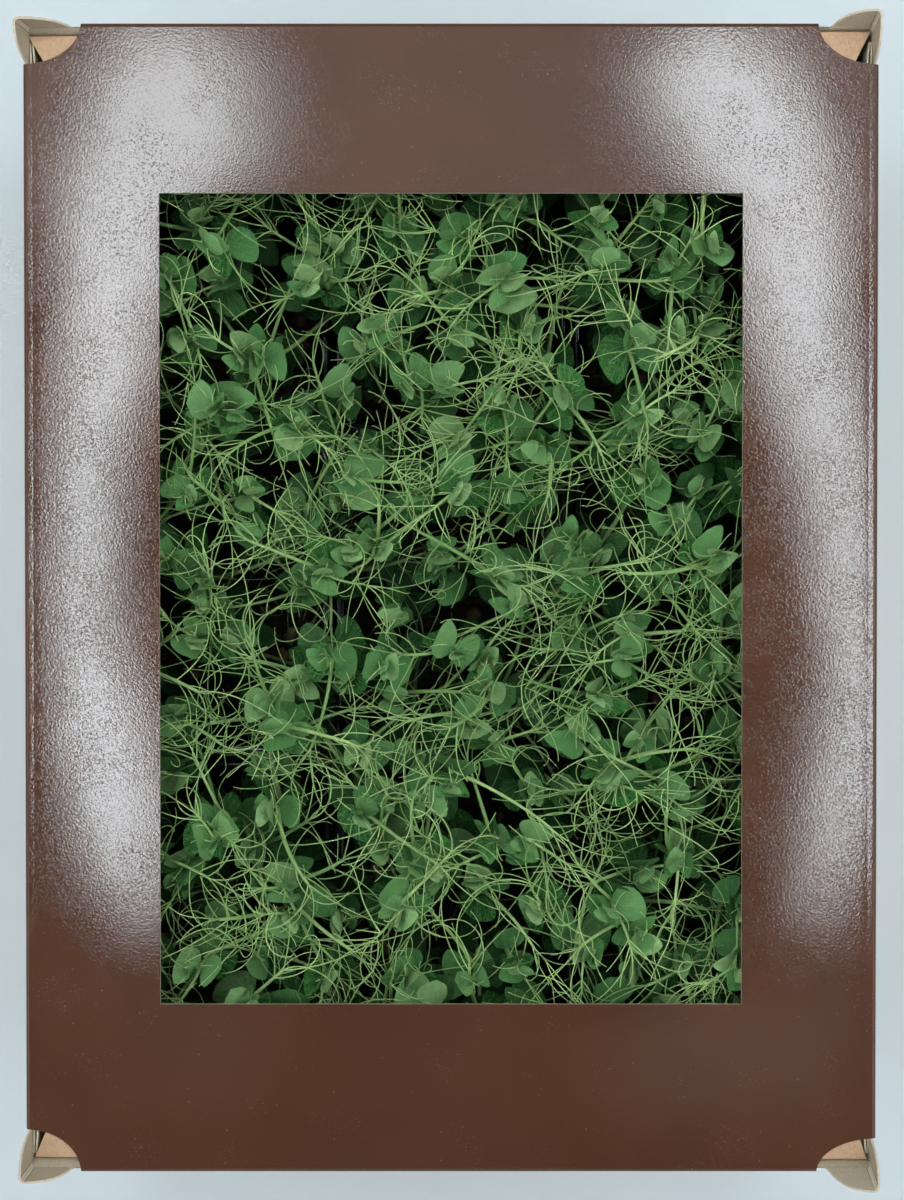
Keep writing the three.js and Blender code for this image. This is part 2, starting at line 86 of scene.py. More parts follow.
# The flaps folded in from the short walls: the wall's side, then for the left and the right end the gap
# between fold and wall, how far the flap's end is tucked in, and the slope of its cut.
FLAPS = (
    {"side": 1, "gap": (2.3 * MM, 0.6 * MM), "tuck": (0.0, 1.1 * MM), "slope": (0.60, 0.50)},
    {"side": -1, "gap": (2.8 * MM, 2.0 * MM), "tuck": (1.1 * MM, 1.1 * MM), "slope": (0.42, 0.34)},
)

# The corner ears: side of the lid along X and Y, the notch's width along X and length along Y, the ear's
# reach along the short side, and its lean out over the short side and over the long side, in degrees.
EARS = (
    {"side": (-1, 1), "width": 20.4 * MM, "notch": 14.5 * MM, "reach": 15.5 * MM,
     "lean_y": -2.5, "lean_x": 6.5},
    {"side": (1, 1), "width": 21.3 * MM, "notch": 14.6 * MM, "reach": 15.4 * MM,
     "lean_y": 8.5, "lean_x": -2.5},
    {"side": (-1, -1), "width": 19.4 * MM, "notch": 15.2 * MM, "reach": 15 * MM,
     "lean_y": 4.5, "lean_x": 3.5},
    {"side": (1, -1), "width": 21 * MM, "notch": 12 * MM, "reach": 16 * MM,
     "lean_y": 17, "lean_x": -1.5},
)


# --- Settings -------------------------------------------------------------------------------------


def size(name, default, description):
    """A length property in metres."""
    return FloatProperty(
        name=name, description=description, default=default, min=0.0, subtype="DISTANCE", unit="LENGTH"
    )


def colour(name, default, description):
    """A linear colour property."""
    return FloatVectorProperty(
        name=name, description=description, default=default, size=3, min=0.0, max=1.0, subtype="COLOR"
    )


class BoardSettings(bpy.types.PropertyGroup):
    """Sizes and colours of the crate's and the lid's board."""

    lid_board: size("Lid board", 0.9 * MM, "Thickness of the lid's board")
    lid_fold: size("Lid fold", 1.5 * MM, "Outer radius of the lid's folds")
    groove_inset: size("Groove inset", 3.4 * MM, "Distance of the pressed groove from the long folds")
    window_width: size("Window width", 204 * MM, "Width of the lid's window")
    window_length: size("Window length", 284 * MM, "Length of the lid's window")
    notch_depth: size("Notch depth", 16 * MM, "Reach of a corner notch down the skirts")
    crate_board: size("Crate board", 0.8 * MM, "Thickness of the crate's board")
    lid_play: size("Lid play", 1.2 * MM, "Distance from the walls to the outside of the lid's skirts")
    ear_drop: size("Ear drop", 0.3 * MM, "Play between an ear's end and the edge of its notch")
    shelf_reach: size("Shelf reach", 35 * MM, "How far the short walls' flaps are folded in")
    lid_colour: colour("Lid", (0.087, 0.031, 0.012), "Print on the lid")
    kraft_colour: colour("Kraft face", (0.585, 0.385, 0.24), "Outer face of the crate's board")
    grey_colour: colour("Grey face", (0.56, 0.485, 0.35), "Inner face of the crate's board")
    edge_colour: colour("Cut edge", (0.66, 0.58, 0.44), "Cut edges of the board")
    crease_colour: colour("Crease", (0.78, 0.70, 0.55), "Crushed board at the ears' folds")
    score_colour: colour("Scored line", (0.085, 0.055, 0.035), "Dark lines beside the ears' folds")


class PunnetSettings(bpy.types.PropertyGroup):
    """Sizes of the punnets and of what they hold."""

    wall: size("Wall", 0.6 * MM, "Thickness of the punnet's plastic")
    corner: size("Corner", 10 * MM, "Radius of the punnet's corners")
    flange: size("Flange", 3 * MM, "Width of the punnet's rim")
    taper: size("Taper", 5 * MM, "How far the walls draw in towards the base")
    seeds: IntProperty(name="Seeds", description="Peas lying on each block of medium", default=26, min=0)
    crumbs: IntProperty(name="Crumbs", description="Crumbs on each block of medium", default=150, min=0)


class ShootSettings(bpy.types.PropertyGroup):
    """How thick the pea shoots stand and how large their parts are."""

    columns: IntProperty(name="Columns", description="Shoots across one punnet", default=5, min=1)
    rows: IntProperty(name="Rows", description="Shoots along one punnet", default=7, min=1)
    canopy_top: size("Canopy top", 136 * MM, "Height that the leaves keep under")
    leaf_length: size("Leaf length", 15.5 * MM, "Length of a grown stipule")
    tendril_length: size("Tendril length", 40 * MM, "Length of a grown tendril")
    petiole_length: size("Petiole length", 38 * MM, "Length of a grown petiole")


class StageSettings(bpy.types.PropertyGroup):
    """Camera, light and floor."""

    camera_height: size("Camera height", 600 * MM, "Camera's distance from the lid's top")
    scale: FloatProperty(name="Scale", description="Pixels per millimetre at the lid", default=2.857)
    tilt: FloatProperty(
        name="Tilt", description="Camera's tilt", default=math.radians(0.72), subtype="ANGLE"
    )
    light_height: size("Light height", 900 * MM, "Height of the strip lights above the lid")
    floor_colour: colour("Floor", (0.765, 0.855, 0.87), "Colour of the floor")


# --- Node trees -----------------------------------------------------------------------------------


class NodeTree:
    """A short way to write a node tree."""

    def __init__(self, tree):
        self.tree = tree

    def add(self, kind, inputs=None, **settings):
        """Adds a node. A value in inputs is a number, a colour or another node's output socket."""
        node = self.tree.nodes.new(kind)
        for name, value in settings.items():
            setattr(node, name, value)
        for key, value in (inputs or {}).items():
            self.feed(node.inputs[key], value)
        return node

    def feed(self, socket, value):
        """Links an output socket to an input, or sets the input's own value."""
        if isinstance(value, bpy.types.NodeSocket):
            self.tree.links.new(value, socket)
        elif hasattr(value, "__len__") and len(value) == 3 and socket.type == "RGBA":
            socket.default_value = (*value, 1.0)
        else:
            socket.default_value = value

    def maths(self, operation, first, second=0.0, third=0.0):
        """The result of one step of arithmetic."""
        node = self.add("ShaderNodeMath", {0: first, 1: second, 2: third}, operation=operation)
        return node.outputs[0]

    def spread(self, value, low, high, to_low=0.0, to_high=1.0):
        """The value's share of the way from low to high, held between the ends."""
        node = self.add(
            "ShaderNodeMapRange",
            {"Value": value, "From Min": low, "From Max": high, "To Min": to_low, "To Max": to_high},
            interpolation_type="SMOOTHSTEP",
        )
        return node.outputs["Result"]

    def mix(self, share, first, second, blend="MIX"):
        """A mix of two colours."""
        node = self.add("ShaderNodeMix", data_type="RGBA", blend_type=blend)
        self.feed(node.inputs["Factor"], share)
        self.feed([s for s in node.inputs if s.name == "A" and s.type == "RGBA"][0], first)
        self.feed([s for s in node.inputs if s.name == "B" and s.type == "RGBA"][0], second)
        return [s for s in node.outputs if s.type == "RGBA"][0]

    def scaled_noise(self, vector, scale, detail, roughness):
        """Noise at a scale that is a number or a socket."""
        inputs = {"Vector": vector, "Scale": scale, "Detail": detail, "Roughness": roughness}
        return self.add("ShaderNodeTexNoise", inputs).outputs["Fac"]

    def noise(self, vector, feature, detail=2.0, roughness=0.5):
        """Noise whose lumps are about that many metres across."""
        return self.scaled_noise(vector, 1.0 / feature, detail, roughness)

    def place(self):
        """Where a point is, in the object's own coordinates."""
        return self.add("ShaderNodeTexCoord").outputs["Object"]

    def parts(self, vector):
        """A vector's three parts."""
        return self.add("ShaderNodeSeparateXYZ", {0: vector}).outputs

    def bump(self, height, strength, distance, normal=None):
        """A normal bent by a height, on top of an earlier normal if there is one."""
        inputs = {"Height": height, "Strength": strength, "Distance": distance}
        if normal is not None:
            inputs["Normal"] = normal
        return self.add("ShaderNodeBump", inputs).outputs["Normal"]


GROUPS = {}


def effect_group(name, inputs, outputs, build):
    """A shader node group of numbers, built once. inputs holds defaults, and build returns the outputs."""
    if name in GROUPS:
        return GROUPS[name]
    tree = bpy.data.node_groups.new(name, "ShaderNodeTree")
    for label, default in inputs.items():
        socket = tree.interface.new_socket(name=label, in_out="INPUT", socket_type="NodeSocketFloat")
        socket.default_value = default
    for label in outputs:
        tree.interface.new_socket(name=label, in_out="OUTPUT", socket_type="NodeSocketFloat")
    nodes = NodeTree(tree)
    entry = nodes.add("NodeGroupInput").outputs
    leave = nodes.add("NodeGroupOutput").inputs
    for label, value in build(nodes, entry).items():
        nodes.feed(leave[label], value)
    GROUPS[name] = tree
    return tree


def use_group(nodes, tree, **inputs):
    """Places a node group in a material and returns its outputs."""
    node = nodes.add("ShaderNodeGroup")
    node.node_tree = tree
    for label, value in inputs.items():
        nodes.feed(node.inputs[label], value)
    return node.outputs


def board_fibre():
    """Pressed paper fibre: fine flecks and a faint grain along the board."""

    def build(nodes, entry):
        place = nodes.place()
        size = entry["Fibre"]
        stretched = nodes.add("ShaderNodeVectorMath", {0: place, 1: (1.0, 0.7, 1.0)}, operation="MULTIPLY")
        fine = nodes.scaled_noise(stretched.outputs[0], nodes.maths("DIVIDE", 1.0, size), 3.0, 0.6)
        flecks = nodes.scaled_noise(place, nodes.maths("DIVIDE", 0.35, size), 4.0, 0.7)
        cloud = nodes.noise(place, 0.03, 2.0)
        clouded = nodes.maths("MULTIPLY", cloud, 0.25)
        shade = nodes.maths("MULTIPLY_ADD", fine, 0.75, clouded)
        return {"Shade": shade, "Flecks": nodes.spread(flecks, 0.62, 0.70), "Height": fine}

    return effect_group("Board fibre", {"Fibre": 0.0008}, ("Shade", "Flecks", "Height"), build)


def dust_specks():
    """Sparse fine specks of dust, as a mask."""

    def build(nodes, entry):
        place = nodes.place()
        cells = nodes.add(
            "ShaderNodeTexVoronoi",
            {"Vector": place, "Scale": nodes.maths("DIVIDE", 1.0, entry["Spacing"])},
        )
        kept = nodes.parts(cells.outputs["Color"])[0]
        near = nodes.spread(cells.outputs["Distance"], 0.05, 0.11, 1.0, 0.0)
        few = nodes.spread(kept, 0.80, 0.84)
        return {"Mask": nodes.maths("MULTIPLY", nodes.maths("MULTIPLY", near, few), entry["Amount"])}

    return effect_group("Dust specks", {"Spacing": 0.003, "Amount": 1.0}, ("Mask",), build)


def pressed_grain():
    """The fine grain and the long waves of a varnished sheet, and where its varnish is dull."""

    def build(nodes, entry):
        place = nodes.place()
        # Turned, because a level sheet can lie on the noise's own lattice and show it.
        mapping = nodes.add("ShaderNodeMapping", {"Vector": place, "Rotation": (0.5, 0.35, 0.6)})
        turned = mapping.outputs["Vector"]
        fine = nodes.scaled_noise(turned, nodes.maths("DIVIDE", 1.0, entry["Size"]), 1.3, 0.6)
        specks = nodes.spread(nodes.noise(turned, 0.00070, 1.0), 0.40, 0.74)
        patches = nodes.spread(nodes.noise(turned, 0.016, 1.0), 0.35, 0.65, 0.45, 1.0)
        return {
            "Grain": fine,
            "Wave": nodes.noise(place, 0.045, 1.0),
            "Dull": nodes.maths("MULTIPLY", specks, patches),
        }

    return effect_group("Pressed grain", {"Size": 0.0009}, ("Grain", "Wave", "Dull"), build)


def leaf_veins():
    """A stipule's fanned veins and net, its mottling and flecks, and how near its node a point is."""

    def build(nodes, entry):
        across, along, _ = nodes.parts(nodes.add("ShaderNodeUVMap", uv_map="Leaf").outputs[0])
        place = nodes.place()
        above = nodes.maths("SUBTRACT", along, 0.27)
        angle = nodes.maths("ARCTAN2", across, above)
        wobble = nodes.noise(place, 0.003, 2.0)

        def fan(count, width):
            turned = nodes.maths("MULTIPLY_ADD", angle, count, nodes.maths("MULTIPLY", wobble, 1.6))
            comb = nodes.maths("ABSOLUTE", nodes.maths("SINE", turned))
            return nodes.spread(comb, 0.0, width, 1.0, 0.0)

        across_squared = nodes.maths("MULTIPLY", across, across)
        above_squared = nodes.maths("MULTIPLY", above, above)
        far = nodes.maths("SQRT", nodes.maths("ADD", across_squared, above_squared))
        ribs = nodes.maths("MULTIPLY", fan(6.0, 0.30), nodes.spread(far, 0.30, 0.80, 1.0, 0.60))
        side_ribs = nodes.maths("MULTIPLY", fan(18.0, 0.60), nodes.spread(far, 0.05, 0.35, 0.0, 0.50))
        cells = nodes.add(
            "ShaderNodeTexVoronoi", {"Vector": place, "Scale": 1 / 0.0014}, feature="DISTANCE_TO_EDGE"
        )
        net = nodes.spread(cells.outputs["Distance"], 0.0, 0.16, 0.30, 0.0)
        veins = nodes.maths("MAXIMUM", ribs, nodes.maths("MAXIMUM", side_ribs, net))
        return {
            "Veins": veins,
            "Mottle": nodes.noise(place, 0.0022, 3.0, 0.65),
            "Flecks": nodes.spread(nodes.noise(place, 0.0011, 1.0), 0.60, 0.70),
            "Near": nodes.spread(far, 0.05, 0.50, 1.0, 0.0),
        }

    return effect_group("Leaf veins", {}, ("Veins", "Mottle", "Flecks", "Near"), build)


def depth_shade():
    """How deep in the canopy a point is, where painted shade darkens the leaves and stems."""

    def build(nodes, entry):
        height = nodes.parts(nodes.place())[2]
        return {"Deep": nodes.spread(height, entry["Low"], entry["High"], 1.0, 0.0)}

    return effect_group("Depth shade", {"Low": 0.088, "High": 0.122}, ("Deep",), build)


# --- Materials ------------------------------------------------------------------------------------

# Linear colours of the leaves and the stalks, from old to young, and of their undersides and marks. The
# IN_SHADE colours are painted shade, mixed in deep in the canopy, and LEAF_OLD, which the lowest and
# oldest leaves take, is partly painted shade too.
LEAF_OLD = (0.006, 0.086, 0.011)
LEAF_GROWN = (0.030, 0.166, 0.026)
LEAF_YOUNG = (0.38, 0.60, 0.25)
LEAF_UNDERSIDE = (0.12, 0.30, 0.10)
LEAF_DARK = (0.003, 0.040, 0.009)
LEAF_FLECK = (0.31, 0.53, 0.22)
LEAF_VEIN = (0.27, 0.50, 0.19)
LEAF_IN_SHADE = (0.003, 0.018, 0.003)
STALK_OLD = (0.07, 0.23, 0.03)
STALK_YOUNG = (0.57, 0.80, 0.32)
STALK_DARK = (0.09, 0.22, 0.06)
STALK_STREAK = (0.27, 0.42, 0.15)
STALK_IN_SHADE = (0.010, 0.020, 0.004)

# Linear colours of the dust and the wear on the lid, and of what lies in the punnets.
PRINT_WEAR = (0.055, 0.021, 0.011)
PRINT_DUST = (0.28, 0.21, 0.17)
PLASTIC = ((0.005, 0.006, 0.010), (0.011, 0.012, 0.018))
PLASTIC_DUST = (0.12, 0.11, 0.10)
MEDIUM = ((0.008, 0.005, 0.003), (0.040, 0.024, 0.014))
MEDIUM_GRIT = (0.09, 0.06, 0.04)
SEED_COAT = ((0.12, 0.075, 0.035), (0.24, 0.17, 0.09))

# Roughness of the varnish where it is clean, and how much duller it gets.
VARNISH_ROUGHNESS = 0.035
VARNISH_DULLING = 0.26


def shaded(colour, factor):
    """A colour made lighter or darker, and no lighter than white."""
    return tuple(min(1.0, factor * part) for part in colour)


def new_material(name):
    """A material with an empty tree but for its Principled BSDF."""
    material = bpy.data.materials.new(name)
    material.use_nodes = True
    material.node_tree.nodes.clear()
    nodes = NodeTree(material.node_tree)
    shader = nodes.add("ShaderNodeBsdfPrincipled")
    output = nodes.add("ShaderNodeOutputMaterial")
    nodes.feed(output.inputs["Surface"], shader.outputs[0])
    return material, nodes, shader


def printed_board(settings):
    """The lid's varnished brown print: soft gloss broken up by a fine grain, with a little dust."""
    material, nodes, shader = new_material("Printed board")
    place = nodes.place()
    grain = use_group(nodes, pressed_grain(), Size=0.00080)
    dust = use_group(nodes, dust_specks(), Spacing=0.0034, Amount=0.45)
    cloud = nodes.noise(place, 0.05, 3.0)
    fine = nodes.noise(place, 0.0007, 2.0)
    base = settings.lid_colour
    shade = nodes.mix(nodes.spread(cloud, 0.3, 0.7), shaded(base, 0.9), shaded(base, 1.1))
    shade = nodes.mix(nodes.spread(fine, 0.35, 0.75, 0.0, 0.30), shade, PRINT_WEAR)
    shade = nodes.mix(dust["Mask"], shade, PRINT_DUST)
    nodes.feed(shader.inputs["Base Color"], shade)
    roughness = nodes.maths("MULTIPLY_ADD", grain["Dull"], VARNISH_DULLING, VARNISH_ROUGHNESS)
    nodes.feed(shader.inputs["Roughness"], roughness)
    shader.inputs["Specular IOR Level"].default_value = 0.5
    soft = nodes.bump(grain["Wave"], 0.5, 0.0002)
    rough = nodes.bump(grain["Grain"], 1.0, 0.000024, soft)
    nodes.feed(shader.inputs["Normal"], rough)
    return material


def plain_board(name, colour, fleck_colour, strength):
    """Unprinted board, with flecks of another colour and fibre that stands out by a strength."""
    material, nodes, shader = new_material(name)
    fibre = use_group(nodes, board_fibre(), Fibre=0.0008)
    shade = nodes.mix(nodes.spread(fibre["Shade"], 0.35, 0.65), shaded(colour, 0.90), shaded(colour, 1.08))
    shade = nodes.mix(nodes.maths("MULTIPLY", fibre["Flecks"], 0.28), shade, tuple(fleck_colour))
    nodes.feed(shader.inputs["Base Color"], shade)
    shader.inputs["Roughness"].default_value = 0.86
    shader.inputs["Specular IOR Level"].default_value = 0.25
    nodes.feed(shader.inputs["Normal"], nodes.bump(fibre["Height"], strength, 0.00025))
    return material


def black_plastic():
    """Thin glossy black plastic with faint flow marks and dust."""
    material, nodes, shader = new_material("Black plastic")
    place = nodes.place()
    dust = use_group(nodes, dust_specks(), Spacing=0.005, Amount=0.5)
    haze = nodes.noise(place, 0.02, 3.0)
    shade = nodes.mix(nodes.spread(haze, 0.3, 0.8), *PLASTIC)
    nodes.feed(shader.inputs["Base Color"], nodes.mix(dust["Mask"], shade, PLASTIC_DUST))
    nodes.feed(shader.inputs["Roughness"], nodes.spread(haze, 0.2, 0.8, 0.12, 0.24))
    nodes.feed(shader.inputs["Normal"], nodes.bump(nodes.noise(place, 0.006, 2.0), 0.15, 0.0006))
    return material


def moist_medium():
    """Dark moist growing medium."""
    material, nodes, shader = new_material("Moist medium")
    place = nodes.place()
    lumps = nodes.noise(place, 0.0022, 5.0, 0.7)
    grit = nodes.noise(place, 0.0006, 3.0, 0.7)
    shade = nodes.mix(nodes.spread(lumps, 0.3, 0.75), *MEDIUM)
    shade = nodes.mix(nodes.spread(grit, 0.66, 0.74), shade, MEDIUM_GRIT)
    nodes.feed(shader.inputs["Base Color"], shade)
    nodes.feed(shader.inputs["Roughness"], nodes.spread(grit, 0.3, 0.7, 0.55, 0.95))
    height = nodes.maths("ADD", lumps, nodes.maths("MULTIPLY", grit, 0.4))
    nodes.feed(shader.inputs["Normal"], nodes.bump(height, 0.9, 0.0012))
    return material


def pea_seed():
    """Wrinkled, pale tan seed coats."""
    material, nodes, shader = new_material("Pea seed")
    place = nodes.place()
    blotch = nodes.noise(place, 0.003, 3.0)
    shade = nodes.mix(nodes.spread(blotch, 0.3, 0.7), *SEED_COAT)
    nodes.feed(shader.inputs["Base Color"], shade)
    shader.inputs["Roughness"].default_value = 0.55
    nodes.feed(shader.inputs["Normal"], nodes.bump(nodes.noise(place, 0.0012, 2.0), 0.6, 0.0006))
    return material


def painted_shade_below(nodes, shade, amount, dark):
    """A colour darkened by painted shade deep in the canopy."""
    deep = use_group(nodes, depth_shade())["Deep"]
    return nodes.mix(nodes.maths("MULTIPLY", deep, amount), shade, dark)


def leaf_surface():
    """A waxy leaf: darker when old and near its node, paler when young, with fanned veins."""
    material, nodes, shader = new_material("Pea leaf")
    veins = use_group(nodes, leaf_veins())
    age = nodes.add("ShaderNodeAttribute", attribute_name="youth").outputs["Fac"]
    tint = nodes.add("ShaderNodeAttribute", attribute_name="tint").outputs["Fac"]
    shade = nodes.mix(nodes.spread(age, 0.0, 0.40), LEAF_OLD, LEAF_GROWN)
    shade = nodes.mix(nodes.spread(age, 0.30, 1.0), shade, LEAF_YOUNG)
    dark = nodes.mix(0.6, shade, LEAF_DARK)
    shade = nodes.mix(nodes.spread(tint, 0.0, 1.0, 0.0, 0.50), shade, dark)
    shade = nodes.mix(nodes.maths("MULTIPLY", veins["Near"], 0.45), shade, dark)
    shade = nodes.mix(nodes.spread(veins["Mottle"], 0.35, 0.70, 0.0, 0.48), shade, dark)
    shade = nodes.mix(nodes.maths("MULTIPLY", veins["Flecks"], 0.30), shade, LEAF_FLECK)
    shade = nodes.mix(nodes.maths("MULTIPLY", veins["Veins"], 0.52), shade, LEAF_VEIN)
    back = nodes.add("ShaderNodeNewGeometry").outputs["Backfacing"]
    shade = nodes.mix(nodes.maths("MULTIPLY", back, 0.6), shade, LEAF_UNDERSIDE)
    # Painted shade: the leaf darkens towards LEAF_IN_SHADE deep in the canopy.
    shade = painted_shade_below(nodes, shade, 0.85, LEAF_IN_SHADE)
    nodes.feed(shader.inputs["Base Color"], shade)
    nodes.feed(shader.inputs["Roughness"], nodes.spread(veins["Mottle"], 0.3, 0.7, 0.42, 0.58))
    shader.inputs["Specular IOR Level"].default_value = 0.08
    height = nodes.maths("SUBTRACT", nodes.maths("MULTIPLY", veins["Mottle"], 1.2), veins["Veins"])
    nodes.feed(shader.inputs["Normal"], nodes.bump(height, 0.50, 0.00032))
    return material


def green_stalk():
    """Stems, petioles and tendrils: pale green, paler when young."""
    material, nodes, shader = new_material("Green stalk")
    age = nodes.add("ShaderNodeAttribute", attribute_name="youth").outputs["Fac"]
    tint = nodes.add("ShaderNodeAttribute", attribute_name="tint").outputs["Fac"]
    streak = nodes.noise(nodes.place(), 0.0020, 3.0)
    shade = nodes.mix(age, STALK_OLD, STALK_YOUNG)
    shade = nodes.mix(nodes.spread(tint, 0.0, 1.0, 0.0, 0.5), shade, STALK_DARK)
    shade = nodes.mix(nodes.spread(streak, 0.4, 0.75, 0.0, 0.35), shade, STALK_STREAK)
    # Painted shade: the stalk darkens towards STALK_IN_SHADE deep in the canopy.
    shade = painted_shade_below(nodes, shade, 0.80, STALK_IN_SHADE)
    nodes.feed(shader.inputs["Base Color"], shade)
    shader.inputs["Roughness"].default_value = 0.42
    shader.inputs["Specular IOR Level"].default_value = 0.18
    nodes.feed(shader.inputs["Normal"], nodes.bump(streak, 0.2, 0.0003))
    return material


def floor_surface(colour):
    """The pale floor."""
    material, nodes, shader = new_material("Pale floor")
    cloud = nodes.noise(nodes.place(), 0.25, 2.0)
    shade = nodes.mix(nodes.spread(cloud, 0.2, 0.8), shaded(colour, 0.97), tuple(colour))
    nodes.feed(shader.inputs["Base Color"], shade)
    shader.inputs["Roughness"].default_value = 0.6
    return material


# --- Mesh helpers ---------------------------------------------------------------------------------


def add_object(name, mesh):
    """Places a mesh in the scene as an object."""
    made = bpy.data.objects.new(name, mesh)
    bpy.context.scene.collection.objects.link(made)
    return made


def smooth(mesh, angle=40):
    """Smooth shading, with edges over the angle kept sharp."""
    mesh.polygons.foreach_set("use_smooth", [True] * len(mesh.polygons))
    mesh.set_sharp_from_angle(angle=math.radians(angle))


def applied(obj):
    """Applies an object's modifiers to its mesh."""
    graph = bpy.context.evaluated_depsgraph_get()
    mesh = bpy.data.meshes.new_from_object(obj.evaluated_get(graph))
    obj.modifiers.clear()
    old = obj.data
    obj.data = mesh
    bpy.data.meshes.remove(old)
    return obj


def cut_away(obj, cutter):
    """Cuts one object out of another and removes the cutter."""
    cut = obj.modifiers.new("cut", "BOOLEAN")
    cut.operation = "DIFFERENCE"
    cut.solver = "MANIFOLD"
    cut.object = cutter
    applied(obj)
    mesh = cutter.data
    bpy.data.objects.remove(cutter)
    bpy.data.meshes.remove(mesh)
    return obj


def joined(name, objects):
    """Joins objects into the first one and names it."""
    with bpy.context.temp_override(active_object=objects[0], selected_editable_objects=objects):
        bpy.ops.object.join()
    objects[0].name = name
    objects[0].data.name = name
    return objects[0]


def grid_faces(rows, columns, keep=None, wrap=False):
    """Quads of a grid of vertices, row by row. keep(row, column) leaves faces out, wrap closes each row."""
    faces = []
    for row in range(rows - 1):
        for column in range(columns if wrap else columns - 1):
            following = (column + 1) % columns
            if keep is None or keep(row, column):
                start = row * columns
                above = start + columns
                faces.append((start + column, start + following, above + following, above + column))
    return faces


# A board's materials: its outer face is the first, and these are the places of the others.
INNER_FACE, CUT_EDGE, CRUSHED_FOLD, SCORED_LINE = 1, 2, 3, 4


def sheet_object(name, points, faces, materials, thickness, merge=0.0):
    """A sheet of board: its points are its outer face, and it is thickened inwards with cut edges."""
    mesh = bpy.data.meshes.new(name)
    mesh.from_pydata(np.asarray(points, dtype=float).reshape(-1, 3).tolist(), [], faces)
    for material in materials:
        mesh.materials.append(material)
    if merge > 0.0:
        cleaner = bmesh.new()
        cleaner.from_mesh(mesh)
        bmesh.ops.remove_doubles(cleaner, verts=cleaner.verts, dist=merge)
        loose = [v for v in cleaner.verts if not v.link_faces]
        bmesh.ops.delete(cleaner, geom=loose, context="VERTS")
        bmesh.ops.recalc_face_normals(cleaner, faces=cleaner.faces)
        cleaner.to_mesh(mesh)
        cleaner.free()
    made = add_object(name, mesh)
    thick = made.modifiers.new("board", "SOLIDIFY")
    thick.thickness = thickness
    thick.offset = -1.0
    thick.use_even_offset = True
    thick.material_offset = INNER_FACE
    thick.material_offset_rim = CUT_EDGE
    return applied(made)


def ride_and_replace(obj, node):
    """Puts a finished piece on the tray's body in place of a node."""
    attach(obj, BODY)
    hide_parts(node)


# --- Lid ------------------------------------------------------------------------------------------

# A folded sheet's rows of points lie close together near its folds and far apart over its flat middle,
# and one more row leads into each fold to keep the flat part flat.
FOLD_ZONE = 24 * MM
CLOSE_SPACING = 2.5 * MM
WIDE_SPACING = 12 * MM
FOLD_LEAD = 0.15 * MM

# The groove pressed beside the lid's long folds: its depth, its half width and where its points lie.
GROOVE_DEPTH = 0.008 * MM
GROOVE_HALF = 0.6 * MM
GROOVE_MARKS = (-0.6 * MM, -0.25 * MM, 0.0, 0.25 * MM, 0.6 * MM)

# Points nearer to each other than this are merged where two skirts' folds meet.
MERGE_DISTANCE = 0.02 * MM


def fold_over(distance, half, radius):
    """Where a sheet bent over an edge at half lies, at a distance from the middle: outwards and down."""
    flat = half - radius
    beyond = abs(distance) - flat
    sign = math.copysign(1.0, distance)
    arc = radius * math.pi / 2
    if beyond <= 0:
        return distance, 0.0
    if beyond <= arc:
        angle = beyond / radius
        return sign * (flat + radius * math.sin(angle)), radius * (1 - math.cos(angle))
    return sign * half, radius + beyond - arc


def fold_stations(half, radius, skirt, marks):
    """Distances from the middle at which a folded sheet has its rows of points."""
    flat = half - radius
    arc = radius * math.pi / 2
    reach = flat + arc + skirt - radius
    stations = [flat + arc * i / 5 for i in range(6)]
    stations += list(np.linspace(flat + arc, reach, 6)[1:])
    edges = sorted({0.0, flat - FOLD_ZONE, flat - FOLD_LEAD, flat, *marks})
    for low, high in zip(edges, edges[1:]):
        spacing = CLOSE_SPACING if low >= flat - FOLD_ZONE else WIDE_SPACING
        count = max(1, round((high - low) / spacing))
        stations += [low + (high - low) * i / count for i in range(count)]
    stations = sorted(set(round(s, 7) for s in stations))
    return [-s for s in reversed(stations) if s > 0] + stations


def lid_sheet(settings, materials):
    """The lid's board, folded down on four sides, with its window."""
    half_x, half_y, top = LID_HIGH.x, LID_HIGH.y, LID_HIGH.z
    radius = settings.lid_fold
    skirt = top - LID_LOW.z
    window = (settings.window_width / 2, settings.window_length / 2)
    groove = half_x - settings.groove_inset
    marks = [groove + offset for offset in GROOVE_MARKS]
    across = fold_stations(half_x, radius, skirt, [window[0], window[0] + MM, *marks])
    along = fold_stations(half_y, radius, skirt, [window[1], window[1] + MM])
    inner_x = half_x - radius + radius * math.pi / 2 + 1e-7
    inner_y = half_y - radius + radius * math.pi / 2 + 1e-7
    points = []
    for v in along:
        for u in across:
            x, drop_x = fold_over(u, half_x, radius)
            y, drop_y = fold_over(v, half_y, radius)
            on_skirt = abs(v) > inner_y
            drop = drop_y if on_skirt else max(drop_x, drop_y)
            pressed = GROOVE_DEPTH * max(0.0, 1 - abs(abs(u) - groove) / GROOVE_HALF)
            points.append((x, y, top - drop - pressed))

    def keep(row, column):
        """Whether a face is outside the window and the corners."""
        u = (across[column] + across[column + 1]) / 2
        v = (along[row] + along[row + 1]) / 2
        if abs(u) < window[0] and abs(v) < window[1]:
            return False
        return not (abs(u) > inner_x and abs(v) > inner_y)

    faces = grid_faces(len(along), len(across), keep)
    return sheet_object("lid_board", points, faces, materials, settings.lid_board, MERGE_DISTANCE)


